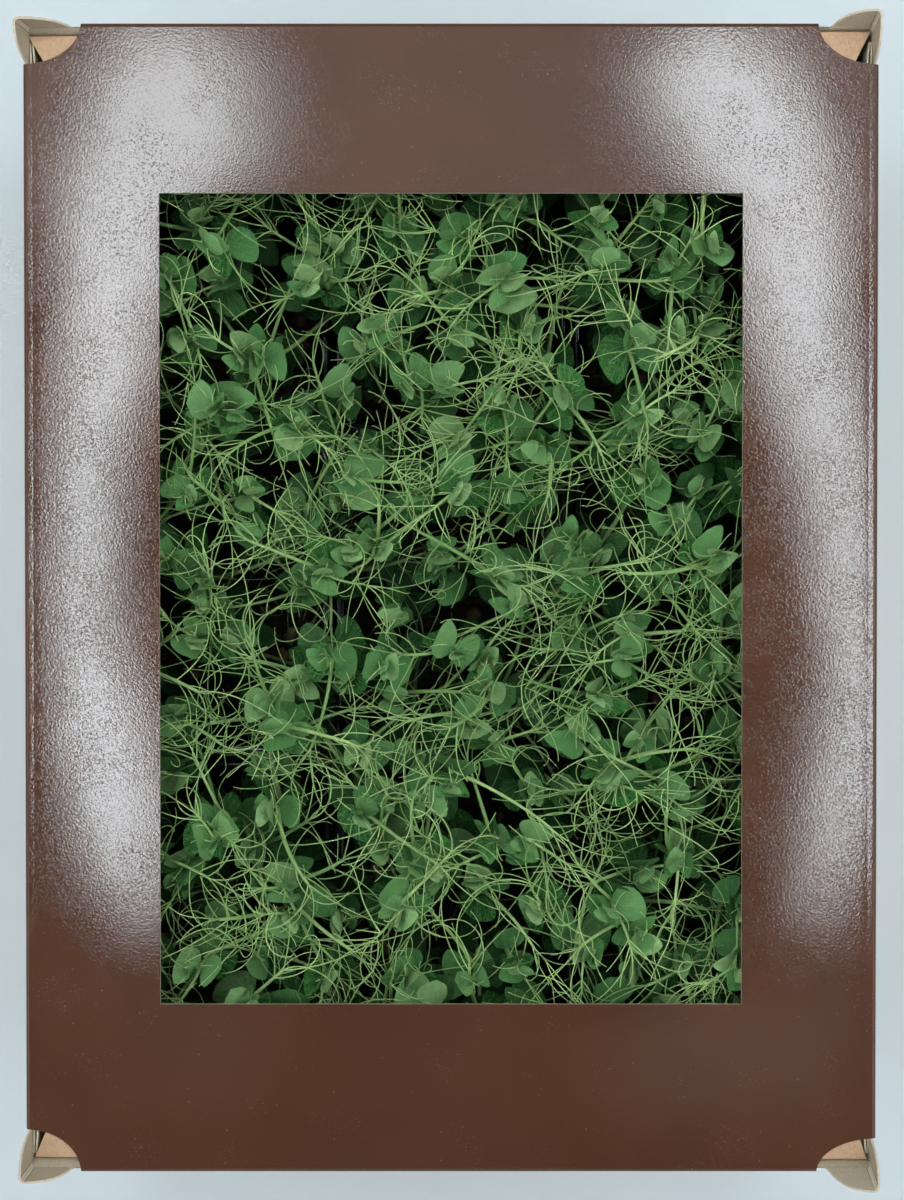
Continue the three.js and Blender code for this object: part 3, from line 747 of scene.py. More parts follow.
def notch_cutter(settings, ear, materials):
    """The rounded hole in one corner of the lid."""
    mesh = bpy.data.meshes.new("notch")
    ball = bmesh.new()
    bmesh.ops.create_uvsphere(ball, u_segments=64, v_segments=32, radius=1.0)
    bmesh.ops.scale(ball, vec=(ear["width"], ear["notch"], settings.notch_depth), verts=ball.verts)
    side_x, side_y = ear["side"]
    corner = (side_x * LID_HIGH.x, side_y * LID_HIGH.y, LID_HIGH.z)
    bmesh.ops.translate(ball, vec=corner, verts=ball.verts)
    for face in ball.faces:
        face.material_index = CUT_EDGE
    ball.to_mesh(mesh)
    ball.free()
    for material in materials:
        mesh.materials.append(material)
    return add_object("notch", mesh)


# --- Crate ----------------------------------------------------------------------------------------

# Gap between the walls' top edges and the lid's underside, and between the flaps' ends and the long walls.
LID_GAP = 0.3 * MM
FLAP_PLAY = 0.1 * MM

# Room that the plies inside a long wall take up.
LINING_ROOM = 1.8 * MM

# The floor's distance from the walls' outside, and its thickness.
FLOOR_INSET = 0.4 * MM
FLOOR_BOARD = 1.2 * MM

# The two plies inside each long wall: how far each stands off the wall, and how far it spreads from there
# away from its ends.
PLIES = ((0.05 * MM, 0.35 * MM), (0.65 * MM, 1.1 * MM))
PLY_THICKNESS = 0.55 * MM
PLY_FOOT = 2 * MM
PLY_END_GAP = 3.9 * MM
PLY_SPREAD_RUN = 4.5 * MM
PLY_TUCK = 1.3 * MM
PLY_TUCK_RUN = 1.5 * MM
PLY_END_SHARES = (0.90, 0.925, 0.95, 0.965, 0.975, 0.985, 0.992, 1.0)

# A flap's fold and the sag of its far edge, which starts some way in from the fold.
FLAP_FOLD = 0.7 * MM
FLAP_SAG = 0.5 * MM
FLAP_SAG_START = 6 * MM
FLAP_COLUMNS = 25

# The ply behind a flap: shares of the way in from the wall to the flap's fold, and the rise over the
# wall's top there. Its thickness, the fold's cover over it, and the painted shade that darkens its grey,
# since its face turns up to the light more than the board beside it.
BACKING_SLANT = ((0.0, 1.2), (0.3, 0.5), (0.65, -0.7), (1.0, -2.2), (1.0, -25.0))
BACKING_THICKNESS = 0.12 * MM
BACKING_COVER = 0.45 * MM
INNER_PLY_PAINTED_SHADE = 0.85


class CrateForm:
    """The crate's own sizes, from the lid that fits over it."""

    def __init__(self, settings):
        self.board = settings.crate_board
        self.half_x = LID_HIGH.x - settings.lid_play
        self.half_y = LID_HIGH.y - settings.lid_play
        self.wall_top = LID_HIGH.z - settings.lid_board - LID_GAP
        self.ear_top = CRATE_HIGH.z
        self.hidden = settings.lid_play + settings.ear_drop
        self.shelf_reach = settings.shelf_reach

    def flap_fold(self, flap, x):
        """How far from the middle a flap's fold lies at a place along it."""
        left, right = flap["gap"]
        share = 0.5 + 0.5 * x / self.half_x
        return self.half_y - self.board - left - (right - left) * share

    def ear_reach_along(self, ear):
        """How far an ear reaches along the long side before it has dropped under the lid."""
        return ear["notch"] - self.hidden


# An ear's outline bulges out more with a higher squareness and with a lower fullness.
EAR_SQUARENESS = 3
EAR_FULLNESS = 0.65


def nearest_ear(x, y):
    """The ear on the same side of the tray as a place."""
    return next(ear for ear in EARS if ear["side"] == (math.copysign(1, x), math.copysign(1, y)))


def wall_height(form, x, y):
    """Height of the outer wall's top edge at a place on its outline."""
    ear = nearest_ear(x, y)
    from_x = form.half_x - abs(x)
    from_y = form.half_y - abs(y)
    share = min(1.0, max(from_x / ear["reach"], from_y / form.ear_reach_along(ear)))
    return form.wall_top + (form.ear_top - form.wall_top) * (1 - share**EAR_SQUARENESS) ** EAR_FULLNESS


def leaned(form, point):
    """Leans an ear out over both its sides."""
    x, y, z = point
    rise = z - form.wall_top
    if rise <= 0:
        return point
    ear = nearest_ear(x, y)
    share_y = max(0.0, 1 - (form.half_y - abs(y)) / form.ear_reach_along(ear))
    share_x = max(0.0, 1 - (form.half_x - abs(x)) / ear["reach"])
    shift_y = ear["side"][1] * rise * math.tan(math.radians(ear["lean_y"])) * share_y
    shift_x = ear["side"][0] * rise * math.tan(math.radians(ear["lean_x"])) * share_x
    return x + shift_x, y + shift_y, z


# The fold at each corner: its radius, its steps and the places of the walls' points beside it, of which the
# first marks off the scored line.
CORNER_FOLD = 1.8 * MM
CORNER_STEPS = 2
CORNER_RUN = tuple(run * MM for run in (0.35, 1.5, 4, 7, 9, 10.5, 12, 13, 14, 14.8, 15.5, 16.2, 17, 24))


def wall_outline(form):
    """Places round the outside of the four walls, and the numbers of the crushed folds and scored lines."""
    points, folds, scores = [], set(), set()
    for sign_x, sign_y, start in ((1, 1, 0), (-1, 1, 90), (-1, -1, 180), (1, -1, 270)):
        centre = (sign_x * (form.half_x - CORNER_FOLD), sign_y * (form.half_y - CORNER_FOLD))
        along_y = [(sign_x * form.half_x, centre[1] - sign_y * d) for d in CORNER_RUN]
        along_x = [(centre[0] - sign_x * d, sign_y * form.half_y) for d in CORNER_RUN]
        before, after = (along_y, along_x) if start in (0, 180) else (along_x, along_y)
        points += before[::-1]
        scores.add(len(points) - 1)
        for step in range(CORNER_STEPS + 1):
            angle = math.radians(start + 90 * step / CORNER_STEPS)
            (folds if step < CORNER_STEPS else scores).add(len(points))
            x = centre[0] + CORNER_FOLD * math.cos(angle)
            y = centre[1] + CORNER_FOLD * math.sin(angle)
            points.append((x, y))
        points += after
    return points, folds, scores


def crate_walls(form, materials):
    """The four outer walls with their ears, as one board folded round the corners."""
    outline, folds, scores = wall_outline(form)
    levels = [0.0, 0.02, 0.25, 0.5, 0.75, 0.97, 1.0]
    points = [(x, y, form.wall_top * level) for level in levels for x, y in outline]
    steps = 10
    for step in range(1, steps + 1):
        for x, y in outline:
            height = form.wall_top + (wall_height(form, x, y) - form.wall_top) * step / steps
            points.append(leaned(form, (x, y, height)))
    faces = grid_faces(len(levels) + steps, len(outline), wrap=True)
    walls = sheet_object("crate_walls", points, faces, materials, form.board)
    crushed_from = 5 * len(outline)
    for number, face in enumerate(walls.data.polygons[len(faces) : 2 * len(faces)]):
        if number >= crushed_from and number % len(outline) in folds:
            face.material_index = CRUSHED_FOLD
        if number >= crushed_from and number % len(outline) in scores:
            face.material_index = SCORED_LINE
    return walls


def crate_floor(form, materials):
    """The crate's floor."""
    xs = np.linspace(-form.half_x + FLOOR_INSET, form.half_x - FLOOR_INSET, 9)
    ys = np.linspace(-form.half_y + FLOOR_INSET, form.half_y - FLOOR_INSET, 11)
    points = [(x, y, 0.0) for y in ys[::-1] for x in xs]
    faces = grid_faces(len(ys), len(xs))
    return sheet_object("crate_floor", points, faces, materials, FLOOR_BOARD)


def lining_ply(form, side, inset, spread, materials):
    """One ply standing inside a long wall. The plies meet at their ends and spread apart from there."""
    end = form.half_y - form.board - PLY_END_GAP
    outer = form.half_x - form.board - inset
    ends = [end * share for share in PLY_END_SHARES]
    places = [-y for y in ends[::-1]] + list(np.linspace(-0.86 * end, 0.86 * end, 25)) + ends
    points = []
    for y in places:
        apart = 1 - math.exp(-(end - abs(y)) / PLY_SPREAD_RUN)
        tuck = PLY_TUCK * math.exp(-(end - abs(y)) / PLY_TUCK_RUN)
        x = side * (outer - spread * apart)
        points += [(x, y, z) for z in (PLY_FOOT, 0.5 * form.wall_top, form.wall_top - LID_GAP - tuck)]
    faces = grid_faces(len(places), 3)
    if side > 0:
        faces = [face[::-1] for face in faces]
    return sheet_object("lining_ply", points, faces, materials, PLY_THICKNESS)


def shelf_flap(form, flap, materials):
    """The flap folded in from a short wall, and the ply that hangs from it inside the wall."""
    radius = FLAP_FOLD
    top = form.wall_top
    wide = form.half_x - form.board - FLAP_PLAY
    path = [(form.shelf_reach * (i / 10 - 1), top) for i in range(10)]
    for step in range(6):
        angle = math.radians(90 * step / 5)
        path.append((radius * (math.sin(angle) - 1), top + radius * (math.cos(angle) - 1)))
    path += [(0.0, top * share) for share in (0.8, 0.5, 0.02)]
    points = []
    for y, z in path:
        if z > top - 1.5 * MM:
            past_fold = max(0.0, -radius - y)
            cuts = [tuck + past_fold * slope for tuck, slope in zip(flap["tuck"], flap["slope"])]
        else:
            cuts = [LINING_ROOM + MM] * 2
        sag = FLAP_SAG * max(0.0, (-FLAP_SAG_START - y) / form.shelf_reach)
        for share in np.linspace(0.0, 1.0, FLAP_COLUMNS):
            x = (1 - share) * (cuts[0] - wide) + share * (wide - cuts[1])
            points.append((x, flap["side"] * (form.flap_fold(flap, x) + y), z - sag))
    faces = grid_faces(len(path), FLAP_COLUMNS)
    if flap["side"] < 0:
        faces = [face[::-1] for face in faces]
    return sheet_object("shelf_flap", points, faces, materials, form.board)


def wall_backing(form, flap, materials):
    """The inner ply of a short wall, which curves in from the wall to the flap's fold."""
    wide = form.half_x - form.board - FLAP_PLAY
    wall = form.half_y - form.board + 0.05 * MM
    points = []
    for share, rise in BACKING_SLANT:
        for x in np.linspace(-wide, wide, FLAP_COLUMNS):
            fold = form.flap_fold(flap, x) + BACKING_COVER
            points.append((x, flap["side"] * (wall + (fold - wall) * share), form.wall_top + rise * MM))
    faces = grid_faces(len(BACKING_SLANT), FLAP_COLUMNS)
    if flap["side"] > 0:
        faces = [face[::-1] for face in faces]
    return sheet_object("wall_backing", points, faces, materials, BACKING_THICKNESS)


# --- Punnets and growing medium -------------------------------------------------------------------


def rounded_loop(half_x, half_y, corner, steps=6):
    """Points round a rounded rectangle."""
    loop = []
    for sign_x, sign_y, start in ((1, 1, 0), (-1, 1, 90), (-1, -1, 180), (1, -1, 270)):
        for step in range(steps + 1):
            angle = math.radians(start + 90 * step / steps)
            x = sign_x * (half_x - corner) + corner * math.cos(angle)
            y = sign_y * (half_y - corner) + corner * math.sin(angle)
            loop.append((x, y))
    return loop


def punnet_mesh(name, settings, low, high):
    """A thin punnet: stepped base, ribbed walls, and a rim that rolls over."""
    middle = ((low.x + high.x) / 2, (low.y + high.y) / 2)
    half = ((high.x - low.x) / 2, (high.y - low.y) / 2)
    height = high.z - low.z
    rim, taper, wall = settings.flange, settings.taper, settings.wall
    outside = [(rim + taper + 2 * MM, 0.0), (rim + taper, 1.5 * MM), (rim + 0.6 * taper, height * 0.45)]
    outside += [(rim + 0.55 * taper - 0.5 * MM, height * 0.47), (rim, height - 2.0 * MM)]
    over = [(0.5 * MM, height - 2.2 * MM), (0.0, height - 1.6 * MM), (0.2 * MM, height - 0.4 * MM)]
    over += [(1.0 * MM, height), (rim - 0.6 * MM, height - 0.1 * MM), (rim + wall, height - 0.8 * MM)]
    inside = [(rim + wall + 0.5 * taper, height * 0.47), (rim + wall + 0.55 * taper, height * 0.45)]
    inside += [(rim + wall + taper, 2.2 * MM), (rim + wall + taper + 2 * MM, wall + 0.4 * MM)]
    points = []
    for inset, z in outside + over + inside:
        corner = max(3 * MM, settings.corner - 0.5 * inset)
        loop = rounded_loop(half[0] - inset, half[1] - inset, corner)
        points += [(middle[0] + x, middle[1] + y, low.z + z) for x, y in loop]
    count = len(rounded_loop(1.0, 1.0, 0.1))
    rings = len(points) // count
    faces = grid_faces(rings, count, wrap=True)
    faces.append(tuple(reversed(range(count))))
    faces.append(tuple(range((rings - 1) * count, rings * count)))
    mesh = bpy.data.meshes.new(name)
    mesh.from_pydata(points, [], faces)
    smooth(mesh, 35)
    return mesh


# A block's top: its columns and rows of points, how many waves its lumps are made of, their numbers per
# metre and their height, how far it lies below the block's full height, and the depth and reach of the
# slump at its edges.
BLOCK_GRID = (49, 65)
LUMP_WAVES = 26
LUMP_NUMBERS = (250, 1300)
LUMP_HEIGHT = 0.16 * MM
BLOCK_DIP = 0.9 * MM
SLUMP_DEPTH = 1.5 * MM
SLUMP_RUN = 4 * MM

# How far a block draws in at its foot, along X and Y.
BLOCK_TAPER = np.array([0.91, 0.93, 0.0])

# Radii of the seeds and the crumbs, how far they keep from a block's edges and how deep they may sink.
SEED_SIZES = (2.6 * MM, 3.4 * MM)
CRUMB_SIZES = (0.7 * MM, 2.2 * MM)
GRAIN_INSET = 6 * MM
GRAIN_SINK = 1.4


def crumbly_top(low, high, rng):
    """Points of a block's uneven top, row by row."""
    columns, rows = BLOCK_GRID
    grid_x, grid_y = np.meshgrid(np.linspace(low.x, high.x, columns), np.linspace(low.y, high.y, rows))
    lumps = np.zeros_like(grid_x)
    for _ in range(LUMP_WAVES):
        wave = rng.uniform(*LUMP_NUMBERS)
        way = rng.uniform(0, 2 * math.pi)
        phase = rng.uniform(0, 2 * math.pi)
        lumps += np.sin(wave * (np.cos(way) * grid_x + np.sin(way) * grid_y) + phase)
    edge_x = np.minimum(grid_x - low.x, high.x - grid_x)
    edge_y = np.minimum(grid_y - low.y, high.y - grid_y)
    slump = SLUMP_DEPTH * np.exp(-np.minimum(edge_x, edge_y) / SLUMP_RUN)
    grid_z = high.z - BLOCK_DIP + LUMP_HEIGHT * lumps - slump
    return np.stack([grid_x, grid_y, grid_z], axis=-1).reshape(-1, 3)


def medium_object(name, settings, low, high, rng, materials):
    """A block of medium with a crumbly top, seeds and crumbs."""
    columns, rows = BLOCK_GRID
    top = crumbly_top(low, high, rng)
    ring = [*range(columns)]
    ring += [row * columns + columns - 1 for row in range(1, rows)]
    ring += [(rows - 1) * columns + column for column in range(columns - 2, -1, -1)]
    ring += [row * columns for row in range(rows - 2, 0, -1)]
    middle = np.array([(low.x + high.x) / 2, (low.y + high.y) / 2, 0.0])
    foot = middle + (top[ring] - middle) * BLOCK_TAPER
    foot[:, 2] = low.z
    points = np.concatenate([top, foot])
    faces = grid_faces(rows, columns)
    count = len(ring)
    first = len(top)
    for i in range(count):
        following = (i + 1) % count
        faces.append((ring[following], ring[i], first + i, first + following))
    faces.append(tuple(first + i for i in reversed(range(count))))
    mesh = bpy.data.meshes.new(name)
    mesh.from_pydata(points.tolist(), [], faces)
    made = add_object(name, mesh)
    body = bmesh.new()
    body.from_mesh(mesh)
    add_grains(body, rng, low, high, settings.seeds, SEED_SIZES, detail=2, material_index=1)
    add_grains(body, rng, low, high, settings.crumbs, CRUMB_SIZES, detail=1, material_index=0)
    body.to_mesh(mesh)
    body.free()
    for material in materials:
        mesh.materials.append(material)
    smooth(mesh, 60)
    return made


def add_grains(body, rng, low, high, count, sizes, detail, material_index):
    """Lumpy grains half sunk in the top of a block."""
    for _ in range(count):
        made = bmesh.ops.create_icosphere(body, subdivisions=detail, radius=rng.uniform(*sizes))
        stretch = Vector(rng.uniform(0.8, 1.15, 3).tolist())
        x = rng.uniform(low.x + GRAIN_INSET, high.x - GRAIN_INSET)
        y = rng.uniform(low.y + GRAIN_INSET, high.y - GRAIN_INSET)
        z = high.z - rng.uniform(0.0, GRAIN_SINK) * MM
        faces = set()
        for vertex in made["verts"]:
            jitter = Vector(rng.uniform(0.9, 1.1, 3).tolist())
            vertex.co = Vector((x, y, z)) + vertex.co * stretch * jitter
            faces.update(vertex.link_faces)
        for face in faces:
            face.material_index = material_index


# --- Pea shoots -----------------------------------------------------------------------------------

LEAF_SLOT, STALK_SLOT = 0, 1
PLAIN_UV = (0.5, 0.5)
UPWARD = np.array([0.0, 0.0, 1.0])


class Growth:
    """Gathers leaf and stalk surfaces as grids, and turns them into one mesh."""

    def __init__(self):
        self.points, self.faces, self.slots = [], [], []
        self.uvs, self.youth, self.tint = [], [], []
        self.count = 0

    def add_grids(self, grids, uv, youth, tint, slot, wrap=False):
        """Adds n grids of rows by columns points. youth and tint are n numbers or n by rows."""
        n, rows, columns = grids.shape[:3]
        pattern = np.array(grid_faces(rows, columns, wrap=wrap))
        starts = self.count + np.arange(n) * rows * columns
        self.faces.append((pattern[None] + starts[:, None, None]).reshape(-1, 4))
        self.points.append(grids.reshape(-1, 3))
        self.uvs.append(np.broadcast_to(uv, (n, rows, columns, 2)).reshape(-1, 2))
        for store, values in ((self.youth, youth), (self.tint, tint)):
            values = np.asarray(values, dtype=float)
            values = values[:, None, None] if values.ndim == 1 else values[:, :, None]
            store.append(np.broadcast_to(values, (n, rows, columns)).reshape(-1))
        self.slots.append(np.full(n * len(pattern), slot))
        self.count += n * rows * columns

    def add_stalks(self, grids, youth, rng):
        """Adds n tubes in the stalks' material, each with a tint of its own."""
        self.add_grids(grids, PLAIN_UV, youth, rng.uniform(0, 1, len(grids)), STALK_SLOT, wrap=True)

    def build(self, name, materials, squeeze):
        """One object of all that has grown."""
        points = squeeze(np.concatenate(self.points))
        faces = np.concatenate(self.faces)
        mesh = bpy.data.meshes.new(name)
        mesh.vertices.add(len(points))
        mesh.vertices.foreach_set("co", points.astype(np.float32).ravel())
        mesh.loops.add(faces.size)
        mesh.loops.foreach_set("vertex_index", faces.astype(np.int32).ravel())
        mesh.polygons.add(len(faces))
        mesh.polygons.foreach_set("loop_start", np.arange(0, faces.size, 4, dtype=np.int32))
        mesh.polygons.foreach_set("material_index", np.concatenate(self.slots).astype(np.int32))
        mesh.update(calc_edges=True)
        mesh.polygons.foreach_set("use_smooth", np.ones(len(faces), dtype=bool))
        layer = mesh.uv_layers.new(name="Leaf")
        corner_uvs = np.concatenate(self.uvs)[faces.ravel()]
        layer.data.foreach_set("uv", corner_uvs.astype(np.float32).ravel())
        for label, values in (("youth", self.youth), ("tint", self.tint)):
            attribute = mesh.attributes.new(label, "FLOAT", "POINT")
            attribute.data.foreach_set("value", np.concatenate(values).astype(np.float32))
        for material in materials:
            mesh.materials.append(material)
        mesh.update()
        return add_object(name, mesh)


def unit(vectors):
    """Vectors at length one."""
    return vectors / np.maximum(np.linalg.norm(vectors, axis=-1, keepdims=True), 1e-9)


def heading(azimuth, elevation):
    """Unit vectors at a compass direction and an angle above level."""
    level = np.cos(elevation)
    return np.stack([level * np.cos(azimuth), level * np.sin(azimuth), np.sin(elevation)], axis=-1)


def tubes(routes, radii, sides):
    """Grids for tubes round n routes of m points. radii is n by m."""
    tangents = unit(np.gradient(routes, axis=1))
    start = np.where(np.abs(tangents[:, :1, 2:]) > 0.9, [[[1.0, 0.0, 0.0]]], [[[0.0, 0.0, 1.0]]])
    normal = unit(np.cross(tangents[:, 0], start[:, 0]))
    rings = []
    angles = np.arange(sides) * 2 * math.pi / sides
    for step in range(routes.shape[1]):
        tangent = tangents[:, step]
        normal = unit(normal - (normal * tangent).sum(-1, keepdims=True) * tangent)
        other = np.cross(tangent, normal)
        ring = (
            normal[:, None] * np.cos(angles)[None, :, None] + other[:, None] * np.sin(angles)[None, :, None]
        )
        rings.append(routes[:, step, None] + ring * radii[:, step, None, None])
    return np.stack(rings, axis=1)


def turn_about(vectors, axes, angles):
    """Rotates vectors about unit axes."""
    cos = np.cos(angles)[:, None]
    sin = np.sin(angles)[:, None]
    along = (vectors * axes).sum(-1, keepdims=True)
    return vectors * cos + np.cross(axes, vectors) * sin + axes * along * (1 - cos)


def wandering_routes(rng, starts, headings, lengths, bend, coil, steps):
    """Routes that bend steadily, and at the end more tightly, as tendrils do."""
    n = len(starts)
    upright = rng.choice([-1.5, 1.5], n)
    axes = unit(rng.normal(size=(n, 3)) + upright[:, None] * UPWARD)
    position, direction = starts.copy(), unit(headings)
    routes = [position.copy()]
    stride = lengths / (steps - 1)
    for step in range(1, steps):
        share = step / (steps - 1)
        curve = bend + coil * share**3
        axes = unit(axes + 0.13 * rng.normal(size=(n, 3)))
        direction = unit(turn_about(direction, axes, curve * stride))
        position = position + direction * stride[:, None]
        routes.append(position.copy())
    return np.stack(routes, axis=1)


LEAF_ROWS = 10
LEAF_COLUMNS = 6

# Stems: the points of each, their radius at foot and tip, how far each may stand off the middle of its
# cell, in shares of the cell, how far its tip leans and how strongly it bows.
STEM_POINTS = 9
STEM_RADII = (1.25, 0.75)
STEM_SCATTER = 0.40
STEM_LEAN = (0.0, 12.0)
STEM_BOW = np.array([3.0, 3.0, 0.0]) * MM

# How far stem tips lie below the canopy's top, in millimetres: at least, at most besides, and in tangles.
TIP_DROP = (2, 20, 7)

# The share of stipules that stand nearly upright, and their opening in degrees.
UPRIGHT_SHARE = 0.16
UPRIGHT_OPENING = (50, 82)

# Petioles: the points of each, the angle it rises at in degrees, and its radius at root and end.
PETIOLE_POINTS = 9
PETIOLE_RISE = (14, 58)
PETIOLE_RADII = (0.92, 0.55)

# Where tendrils leave a petiole, in shares of its length, and how far they open to one side.
TENDRIL_STAGES = (
    (0.74, 1.1), (0.74, -1.1), (0.87, 0.9), (0.87, -0.9), (1.0, 0.55), (1.0, -0.55), (1.0, 0.1),
)

# Tendrils: radius at root and end, bend in radians per metre, the share that coil at the end, how tightly
# those coil there, and how tightly the others do.
TENDRIL_RADII = (0.34, 0.18)
TENDRIL_BEND = (8, 88)
COILED_SHARE = 0.36
TENDRIL_COIL = (70, 360)
UNCOILED = 20
BUD_TENDRILS = 3
BUD_LENGTHS = (5, 12)

# The levels of a shoot from its top down: distance below the tip, share of full leaf size, the rise of the
# pair's spine above level and the opening of its pages, in degrees, how far the pair may roll, how young it
# is, and the share of shoots with a petiole there and its share of full length.
# The low youth of the lowest levels gives their leaves the dark old colour, which is partly painted shade.
LEVELS = (
    {"below": 0.5 * MM, "size": 0.60, "rise": (8, 62), "opening": (58, 86), "roll": 1.10, "youth": 0.95,
     "petioles": 0.0, "petiole": 0.0},
    {"below": 5 * MM, "size": 0.84, "rise": (18, 56), "opening": (18, 52), "roll": 0.40, "youth": 0.60,
     "petioles": 0.60, "petiole": 0.45},
    {"below": 15 * MM, "size": 1.00, "rise": (4, 36), "opening": (4, 30), "roll": 0.25, "youth": 0.28,
     "petioles": 0.85, "petiole": 0.90},
    {"below": 30 * MM, "size": 1.06, "rise": (-4, 26), "opening": (-4, 22), "roll": 0.20, "youth": 0.12,
     "petioles": 0.60, "petiole": 1.10},
    {"below": 47 * MM, "size": 0.96, "rise": (-12, 18), "opening": (-8, 18), "roll": 0.20, "youth": 0.03,
     "petioles": 0.0, "petiole": 0.0},
)

# Where the tendrils mass together: X, Y and reach.
TANGLES = np.array(
    [
        (-7, 96, 30),
        (52, 78, 24),
        (66, -22, 30),
        (52, -93, 22),
        (-67, 13, 24),
        (-70, -113, 22),
    ]
) * MM


def tangle_share(points):
    """How much more than elsewhere the tendrils mass together at a place, from 0 to about 1."""
    apart = points[:, None, :2] - TANGLES[None, :, :2]
    nearness = np.exp(-(apart**2).sum(-1) / (2 * TANGLES[None, :, 2] ** 2))
    return np.clip(nearness.sum(-1), 0.0, 1.0)


def stipule_outline():
    """Half a heart lying beside its spine: the places along it, its middle line and its half widths."""
    share = 0.5 - 0.5 * np.cos(math.pi * np.linspace(0.0, 1.0, LEAF_ROWS))
    along = -0.30 + 1.02 * share
    broadest = 0.40
    base = np.clip(1 - ((share - broadest) / broadest) ** 2, 0.0, None) ** 0.5
    point = np.clip(1 - (np.abs(share - broadest) / (1 - broadest)) ** 2.0, 0.0, None) ** 0.60
    half = 0.34 * np.where(share < broadest, base, point)
    middle = 0.32 + 0.10 * (share - 0.3)
    return along, middle, half


def stipule_grids(rng, nodes, spines, ups, side, lengths, opening):
    """Grids for n stipules on one side of their spines, like the pages of an open book."""
    n = len(nodes)
    along, middle, half = stipule_outline()
    across = np.linspace(-1.0, 1.0, LEAF_COLUMNS) * side
    shaped = half[None] * rng.uniform(0.86, 1.12, (n, 1))
    teeth = 1 + 0.10 * rng.uniform(-1, 1, (n, LEAF_ROWS)) * (along < 0.25) * (along > -0.28)
    uneven = 1 + 0.05 * rng.uniform(-1, 1, (n, LEAF_ROWS, 1))
    widths = shaped[:, :, None] * np.where(across[None, None] * side > 0.99, teeth[:, :, None], uneven)
    reach = across[None, None] * side
    s = middle[None, :, None] + widths * reach
    t = np.broadcast_to(along[None, :, None], s.shape)
    cup = rng.uniform(-0.25, 0.75, (n, 1, 1)) * (s - 0.2) ** 2
    droop = rng.uniform(0.0, 0.42, (n, 1, 1)) * np.maximum(t, 0.0) ** 2
    lobe = rng.uniform(-0.3, 0.6, (n, 1, 1)) * np.maximum(-t, 0.0) ** 2
    crease = 0.035 * np.exp(-np.abs(s - 0.06 - 0.42 * np.maximum(t, 0)) / 0.05)
    wave = rng.uniform(0, 6.3, (n, 1, 1))
    ripple = 0.028 * np.sin(wave + 8.0 * t + 4.0 * s) * np.abs(reach) ** 2
    lift = cup - droop + lobe - crease + ripple
    lateral = np.cross(spines, ups) * side
    opened = opening[:, None]
    page = lateral * np.cos(opened) + ups * np.sin(opened)
    normal = ups * np.cos(opened) - lateral * np.sin(opened)
    grids = (
        s[..., None] * page[:, None, None]
        + t[..., None] * spines[:, None, None]
        + lift[..., None] * normal[:, None, None]
    )
    return nodes[:, None, None] + grids * lengths[:, None, None, None], np.stack([s, t + 0.3], axis=-1)


def squeeze_into_crate(settings, form):
    """Bends what has grown clear of the lid's underside, the walls and the flaps."""
    window = (settings.window_width / 2, settings.window_length / 2)
    reach_x = form.half_x - form.board - LINING_ROOM - 1.0 * MM
    reach_y = form.half_y - 2 * form.board - 1.2 * MM

    def soft_limit(values, limit, softness):
        """Values eased off so that none passes the limit."""
        excess = np.maximum(values - (limit - softness), 0.0)
        return np.where(
            excess > 0, limit - softness + softness * (1 - np.exp(-excess / softness)), values
        )

    def squeeze(points):
        points = points.copy()
        for axis, reach in ((0, reach_x), (1, reach_y)):
            sign = np.sign(points[:, axis])
            points[:, axis] = sign * soft_limit(np.abs(points[:, axis]), reach, 6 * MM)
        beyond = np.maximum(
            np.abs(points[:, 0]) - (window[0] - 7 * MM), np.abs(points[:, 1]) - (window[1] - 7 * MM)
        )
        share = np.clip(beyond / (6 * MM), 0.0, 1.0)
        open_top = LID_HIGH.z + 2.0 * MM
        closed_top = form.wall_top - 2.2 * MM
        limit = open_top + (closed_top - open_top) * share
        points[:, 2] = soft_limit(points[:, 2], limit, 7 * MM)
        return points

    return squeeze


def stem_routes(settings, low, high, medium_top, rng):
    """Feet, tips and routes of one punnet's stems, which stand in rows of cells but not in step."""
    columns, rows = settings.columns, settings.rows
    n = columns * rows
    index = np.arange(n)
    cell = np.array([(high.x - low.x) / columns, (high.y - low.y) / rows])
    spots = np.stack([index % columns + 0.5, index // columns + 0.5], axis=-1) * cell
    spots = spots + np.array([low.x, low.y]) + rng.uniform(-STEM_SCATTER, STEM_SCATTER, (n, 2)) * cell
    lean_way = rng.uniform(0, 2 * math.pi, n)
    lean = rng.uniform(*STEM_LEAN, n) * MM
    least, besides, tangled = TIP_DROP
    drop = (least + besides * rng.uniform(0, 1, n) ** 1.3 + tangled * tangle_share(spots)) * MM
    tip_x = spots[:, 0] + np.cos(lean_way) * lean
    tip_y = spots[:, 1] + np.sin(lean_way) * lean
    tips = np.stack([tip_x, tip_y, settings.canopy_top - drop], axis=-1)
    feet = np.concatenate([spots, np.full((n, 1), medium_top - 2 * MM)], axis=1)
    shares = np.linspace(0, 1, STEM_POINTS)
    bow = rng.normal(size=(n, 3)) * STEM_BOW
    routes = (
        feet[:, None]
        + (tips - feet)[:, None] * np.stack([shares**1.6, shares**1.6, shares], axis=-1)[None]
        + bow[:, None] * np.sin(math.pi * shares)[None, :, None]
    )
    return feet, tips, routes


def points_along(routes, shares):
    """The point at a share of the way along each route, each with its own share."""
    last = routes.shape[1] - 1
    step = shares * last
    low_step = np.minimum(step.astype(int), last - 1)
    part = (step - low_step)[:, None]
    index = np.arange(len(routes))
    return routes[index, low_step] * (1 - part) + routes[index, low_step + 1] * part


